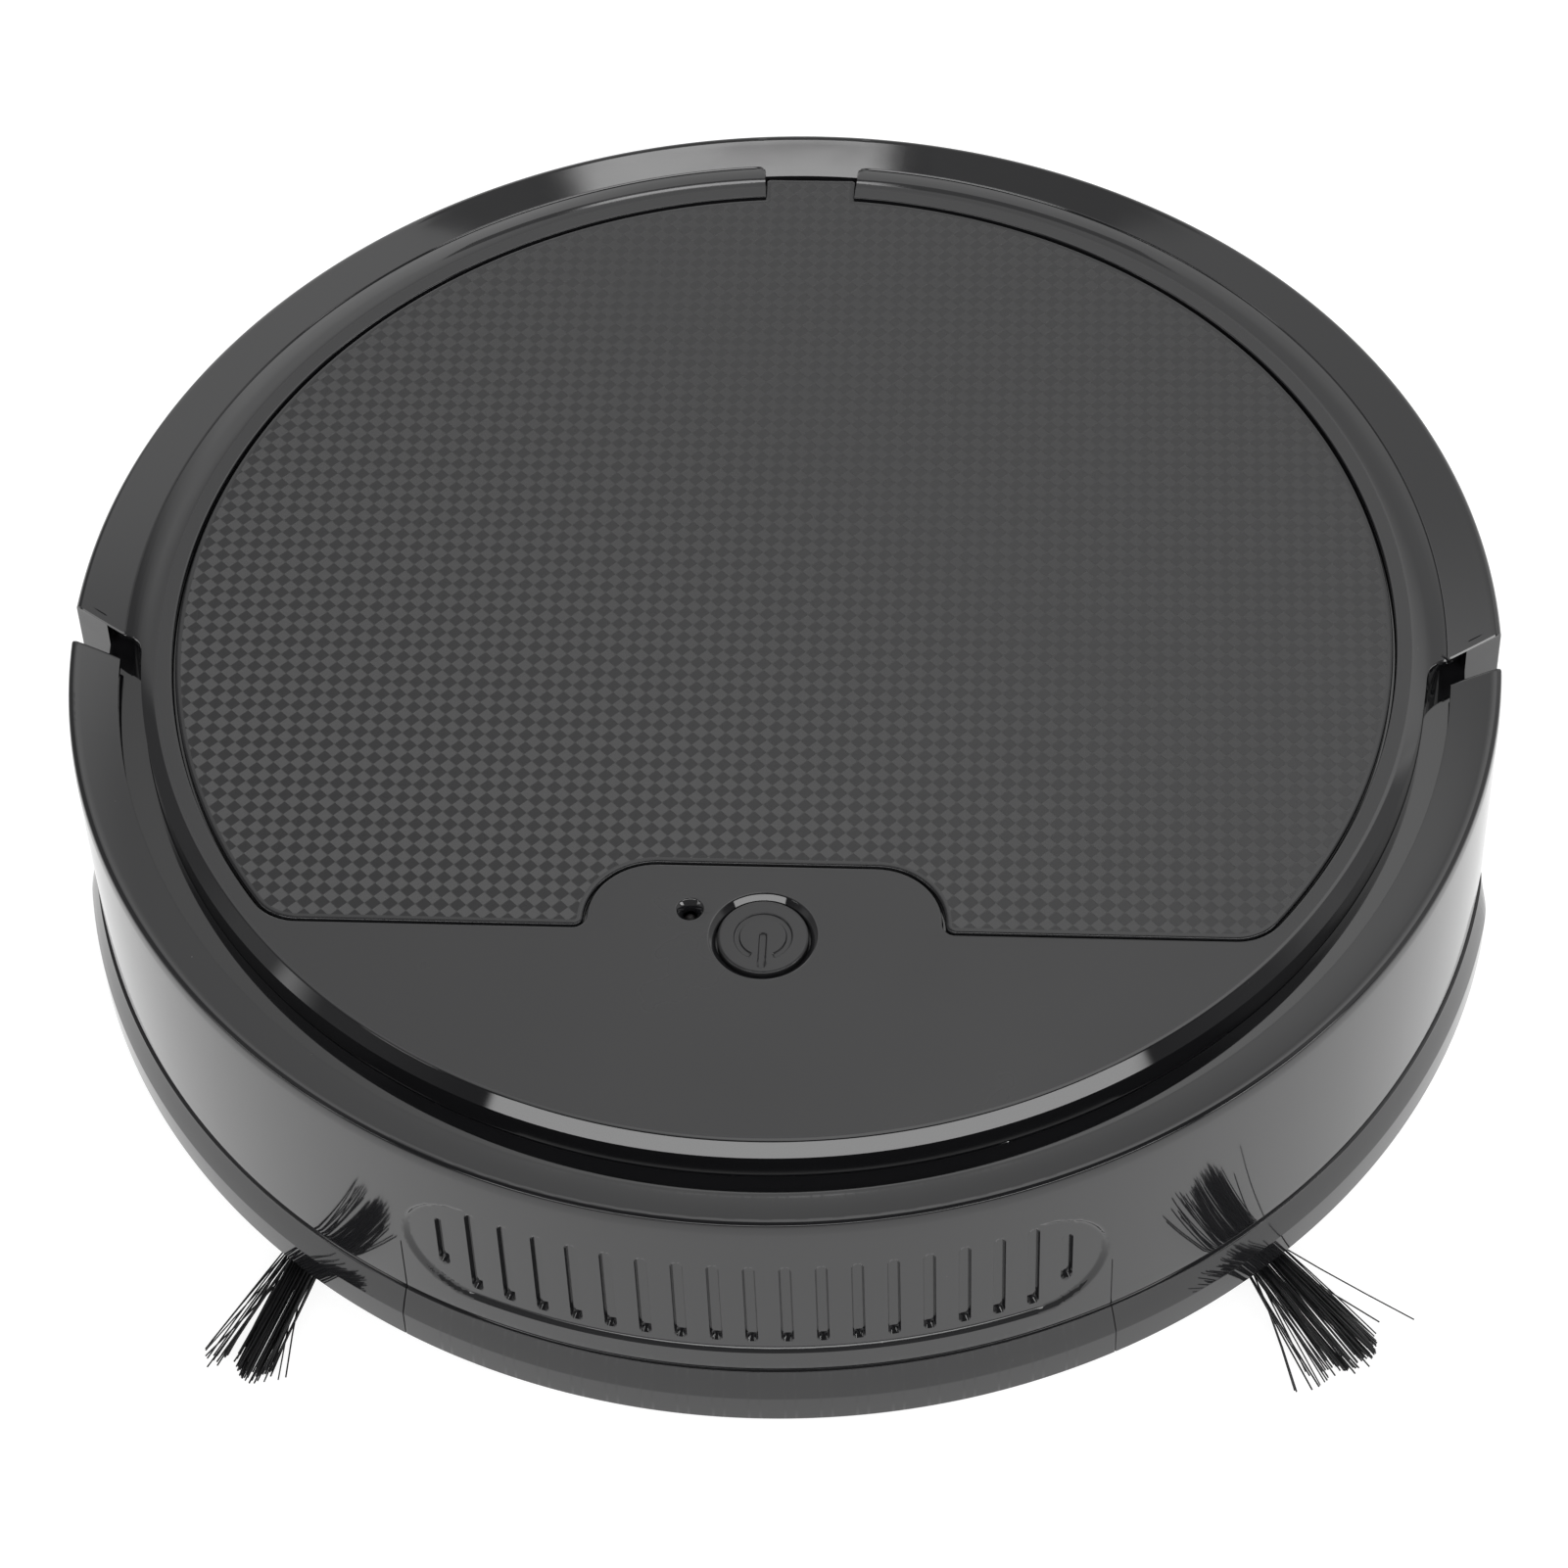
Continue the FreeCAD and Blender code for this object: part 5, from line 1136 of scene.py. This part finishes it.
# ---- brushes, tyres and springs ----
def side_brush(side):
    """Three tufts of straight nylon filament: a dense core, a thinner wing beside it and a few that stray."""
    sx = SIDES[side]
    hub = centre("side_brush_hub_" + side)
    shape = BRUSH[side]
    draw = random.Random(11 if sx > 0 else 23)
    skin = Skin()
    for tuft in range(3):
        turn = Matrix.Rotation(math.radians(-90 + sx * shape["heading"] + 120 * tuft), 3, "Z")
        for k in range(FILAMENTS):
            place = draw.uniform(-1, 1)
            lean = shape["core"] + place * shape["half"]
            if k % 7 == 3:
                lean = shape["wing"] + draw.uniform(-3.0, 3.0)
            side_bow = draw.uniform(-0.5, 0.5)
            across = shape["root"] * place + 0.07 * lean
            if k < len(shape["strays"]) and tuft == 0:
                lean = shape["strays"][k] + draw.uniform(-0.3, 0.3)
                across = shape["root"] * math.copysign(1.4, shape["core"] - lean)
                side_bow = sx * math.copysign(STRAY_BOW, shape["core"] - lean)
            root = Vector((TUFT_ROOT, sx * across, draw.uniform(4.0, 6.6)))
            a = math.radians(sx * lean)
            length = shape["reach"] - 3.0 * place ** 2 + draw.uniform(-2.4, 1.0)
            if tuft > 0:
                length -= TYRE_TRIM
            tip = Vector((length * math.cos(a), length * math.sin(a), draw.uniform(1.2, 5.0)))
            path = []
            for i in range(6):
                t = i / 5
                p = root.lerp(tip, t) + Vector((0, side_bow, 0.6)) * math.sin(math.pi * t)
                path.append(turn @ p + Vector((hub.x, hub.y, 0)))
            skin.tube(path, FILAMENT_R * draw.uniform(0.85, 1.1), 5)
    piece("brush_filaments_" + side, skin, side + "_side_brush", "bristle",
          replaces=["side_brush_bristles_" + side], weld=0.0005, sharp=80)


def tyre(side):
    """A soft tyre with slanted lugs in two rows."""
    node = "tyre_" + side
    a, b, mid = low(node), high(node), centre(node)
    outer = (b.z - a.z) / 2
    half = (b.x - a.x) / 2
    steps = 240
    section = [(-half, TYRE_BORE_R), (-half, outer - 2.2)]
    section += [(-half + 0.25, outer - 1.2), (-half + 0.9, outer - 0.35)]
    section += [(-half + 1.6 + (half - 1.9) * k / 8, outer) for k in range(9)]
    section += [(-x, r) for x, r in reversed(section[:-1])]
    rows = []
    for x, r in section:
        row = []
        for k in range(steps):
            t = 360.0 * k / steps
            depth = 0.0
            if r > outer - LUG_DEPTH:
                phase = (t / 360 * LUGS + abs(x) * LUG_SLANT) % 1.0
                depth = LUG_DEPTH * smooth(0.16, 0.07, abs(phase - 0.5))
                depth = max(depth, GROOVE_DEPTH * smooth(0.75, 0.35, abs(x)))
            angle = math.radians(t)
            rr = r - depth
            row.append((mid.x + x, mid.y + rr * math.cos(angle), mid.z + rr * math.sin(angle)))
        rows.append(row)
    skin = Skin()
    skin.grid(rows + [rows[0]], closed=True)
    piece(node + "_tread", skin, side + "_wheel", "tyre", replaces=[node], sharp=50)


def coil(start, axis, length, radius, wire, turns):
    """Points along a coil spring with closed end turns."""
    points = []
    side = axis.orthogonal().normalized()
    up = axis.cross(side)
    steps = int(turns * 20)
    for k in range(steps + 1):
        t = k / steps
        a = 2 * math.pi * turns * t
        lift = smooth(0.12, 0.88, t) * 0.35 + t * 0.65
        along = wire + (length - 2 * wire) * lift
        points.append(start + axis * along + (side * math.cos(a) + up * math.sin(a)) * radius)
    return points


def spring(node, axis, radius, wire, turns):
    """A coil along y (axis 1) or z (axis 2), from a moving body at its low end to the chassis."""
    start, end = centre(node), centre(node)
    start[axis], end[axis] = low(node)[axis], high(node)[axis]
    along = end - start
    skin = Skin()
    skin.tube(coil(start, along.normalized(), along.length, radius, wire, turns), wire, 7)
    mesh = skin_mesh(node + "_coil", skin, ["spring_steel"])
    mesh.shade_smooth()
    obj = link(node + "_coil", mesh)
    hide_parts(node)
    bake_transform(obj)


# ---- carried-over CAD nodes ----
def dress_cad_nodes():
    """Gives each CAD node that stays its material, and small rounded edges to the moulded ones."""
    slots = {row["node"]: row["material_slot"] for row in frame["record"]["subparts"]}
    for name, obj in NODES.items():
        slot = slots[name]
        for holder in obj.material_slots:
            holder.material = MATERIALS[slot]
        if not obj.hide_render and slot in ("base_plastic", "bin_clear", "bin_cover", "wheel_plastic"):
            soften(obj, 0.25, 50)


# ---- stage, light and camera ----
def stage():
    """A white studio floor."""
    bpy.ops.mesh.primitive_grid_add(x_subdivisions=4, y_subdivisions=4, size=8.0, location=(0, 0, 0))
    floor = bpy.context.object
    floor.name = "studio_floor"
    floor.data.materials.append(glowing("floor_white", FLOOR_TONE, 0.9, FLOOR_GLOW)[0])


def card(name, edges, y, glow, streaky=False):
    """An upright rectangle that shines on the robot and hides the room's light behind it."""
    x0, x1, z0, z1 = edges
    mesh = bpy.data.meshes.new(name)
    mesh.from_pydata([(x0, y, z0), (x1, y, z0), (x1, y, z1), (x0, y, z1)], [], [(0, 1, 2, 3)])
    obj = link(name, mesh)
    material, nodes, body = glowing(name, 0.0, 1.0, glow)
    if streaky:
        nodes.set(body["Emission Strength"], streaks(nodes, edges, glow))
    mesh.materials.append(material)
    obj.visible_camera = False
    obj.visible_diffuse = False


def streaks(nodes, edges, glow):
    """The card's light, which runs out in level streaks at its two ends."""
    squeezed = nodes.add("Mapping", {"Vector": nodes.place, "Scale": (9.0, 0.0, 150.0)}).outputs["Vector"]
    half, middle = (edges[1] - edges[0]) / 2, (edges[0] + edges[1]) / 2
    from_middle = nodes.calc("ABSOLUTE", nodes.calc("SUBTRACT", nodes.split(nodes.place)["X"], middle))
    ragged = nodes.spread(nodes.noise(1.0, 5.0, 0.5, squeezed), 0.0, 0.3 * half, 0.35, 0.65)
    return nodes.spread(nodes.calc("ADD", from_middle, ragged), glow, 0.35, half * 0.84, half)


def world():
    """Light from the room: the sum of its soft-edged lobes over a faint even glow."""
    made = bpy.data.worlds.new("studio")
    bpy.context.scene.world = made
    nodes = Nodes(made, "Generated")
    x, y, z = nodes.split(nodes.place)
    up = nodes.calc("ARCSINE", z)
    from_rear = nodes.calc("ARCTAN2", x, y)
    from_front = nodes.calc("ARCTAN2", x, nodes.calc("MULTIPLY", y, -1.0))

    def step(source, edge, soft, before, after):
        edges = math.radians(edge - soft), math.radians(edge + soft)
        return nodes.spread(source, before, after, *edges, "SMOOTHSTEP")

    def between(source, start, end, soft):
        return nodes.calc("MULTIPLY", step(source, start, soft, 0.0, 1.0), step(source, end, soft, 1.0, 0.0))

    total = ROOM_GLOW
    for lobes, azimuth in ((ROOM_BACK, from_rear), (ROOM_FRONT, from_front)):
        for az0, az1, el0, el1, strength, soft in lobes:
            spot = nodes.calc("MULTIPLY", between(azimuth, az0, az1, soft), between(up, el0, el1, soft))
            total = nodes.calc("ADD", nodes.calc("MULTIPLY", spot, strength), total)
    sky = nodes.tree.nodes["Background"].inputs
    sky["Color"].default_value = (1, 1, 1, 1)
    nodes.set(sky["Strength"], total)


def camera():
    """The camera, which looks at the robot as the photo does."""
    data = bpy.data.cameras.new("camera")
    data.sensor_width = SENSOR
    data.lens = LENS
    obj = link("camera", data)
    look = Vector(CAMERA_LOOK).normalized()
    right = look.cross(Vector((0, 0, 1))).normalized()
    up = right.cross(look)
    roll = math.radians(CAMERA_ROLL)
    x_axis = right * math.cos(roll) + up * math.sin(roll)
    y_axis = up * math.cos(roll) - right * math.sin(roll)
    turn = Matrix((x_axis, y_axis, -look)).transposed()
    obj.matrix_world = Matrix.Translation(CAMERA_AT) @ turn.to_4x4()
    bpy.context.scene.camera = obj


# ---- build ----
MATERIALS.update(make_materials())
bumper_shell()
upper_housing()
lid_panel()
lid_arms()
hinge_ears()
power_button()
status_lamp()
for side in SIDES:
    side_brush(side)
    tyre(side)
for side in SIDES:
    spring("bumper_spring_" + side, 1, radius=3.0, wire=0.35, turns=6.5)
    spring("suspension_spring_" + side, 2, radius=3.05, wire=0.4, turns=5.5)
dress_cad_nodes()

stage()
world()
card("lamp_card", CARD, CARD_Y, CARD_GLOW, streaky=True)
card("lamp_frame", FRAME, CARD_Y + 0.004, FRAME_GLOW)
camera()
bpy.context.scene.view_settings.view_transform = "Standard"
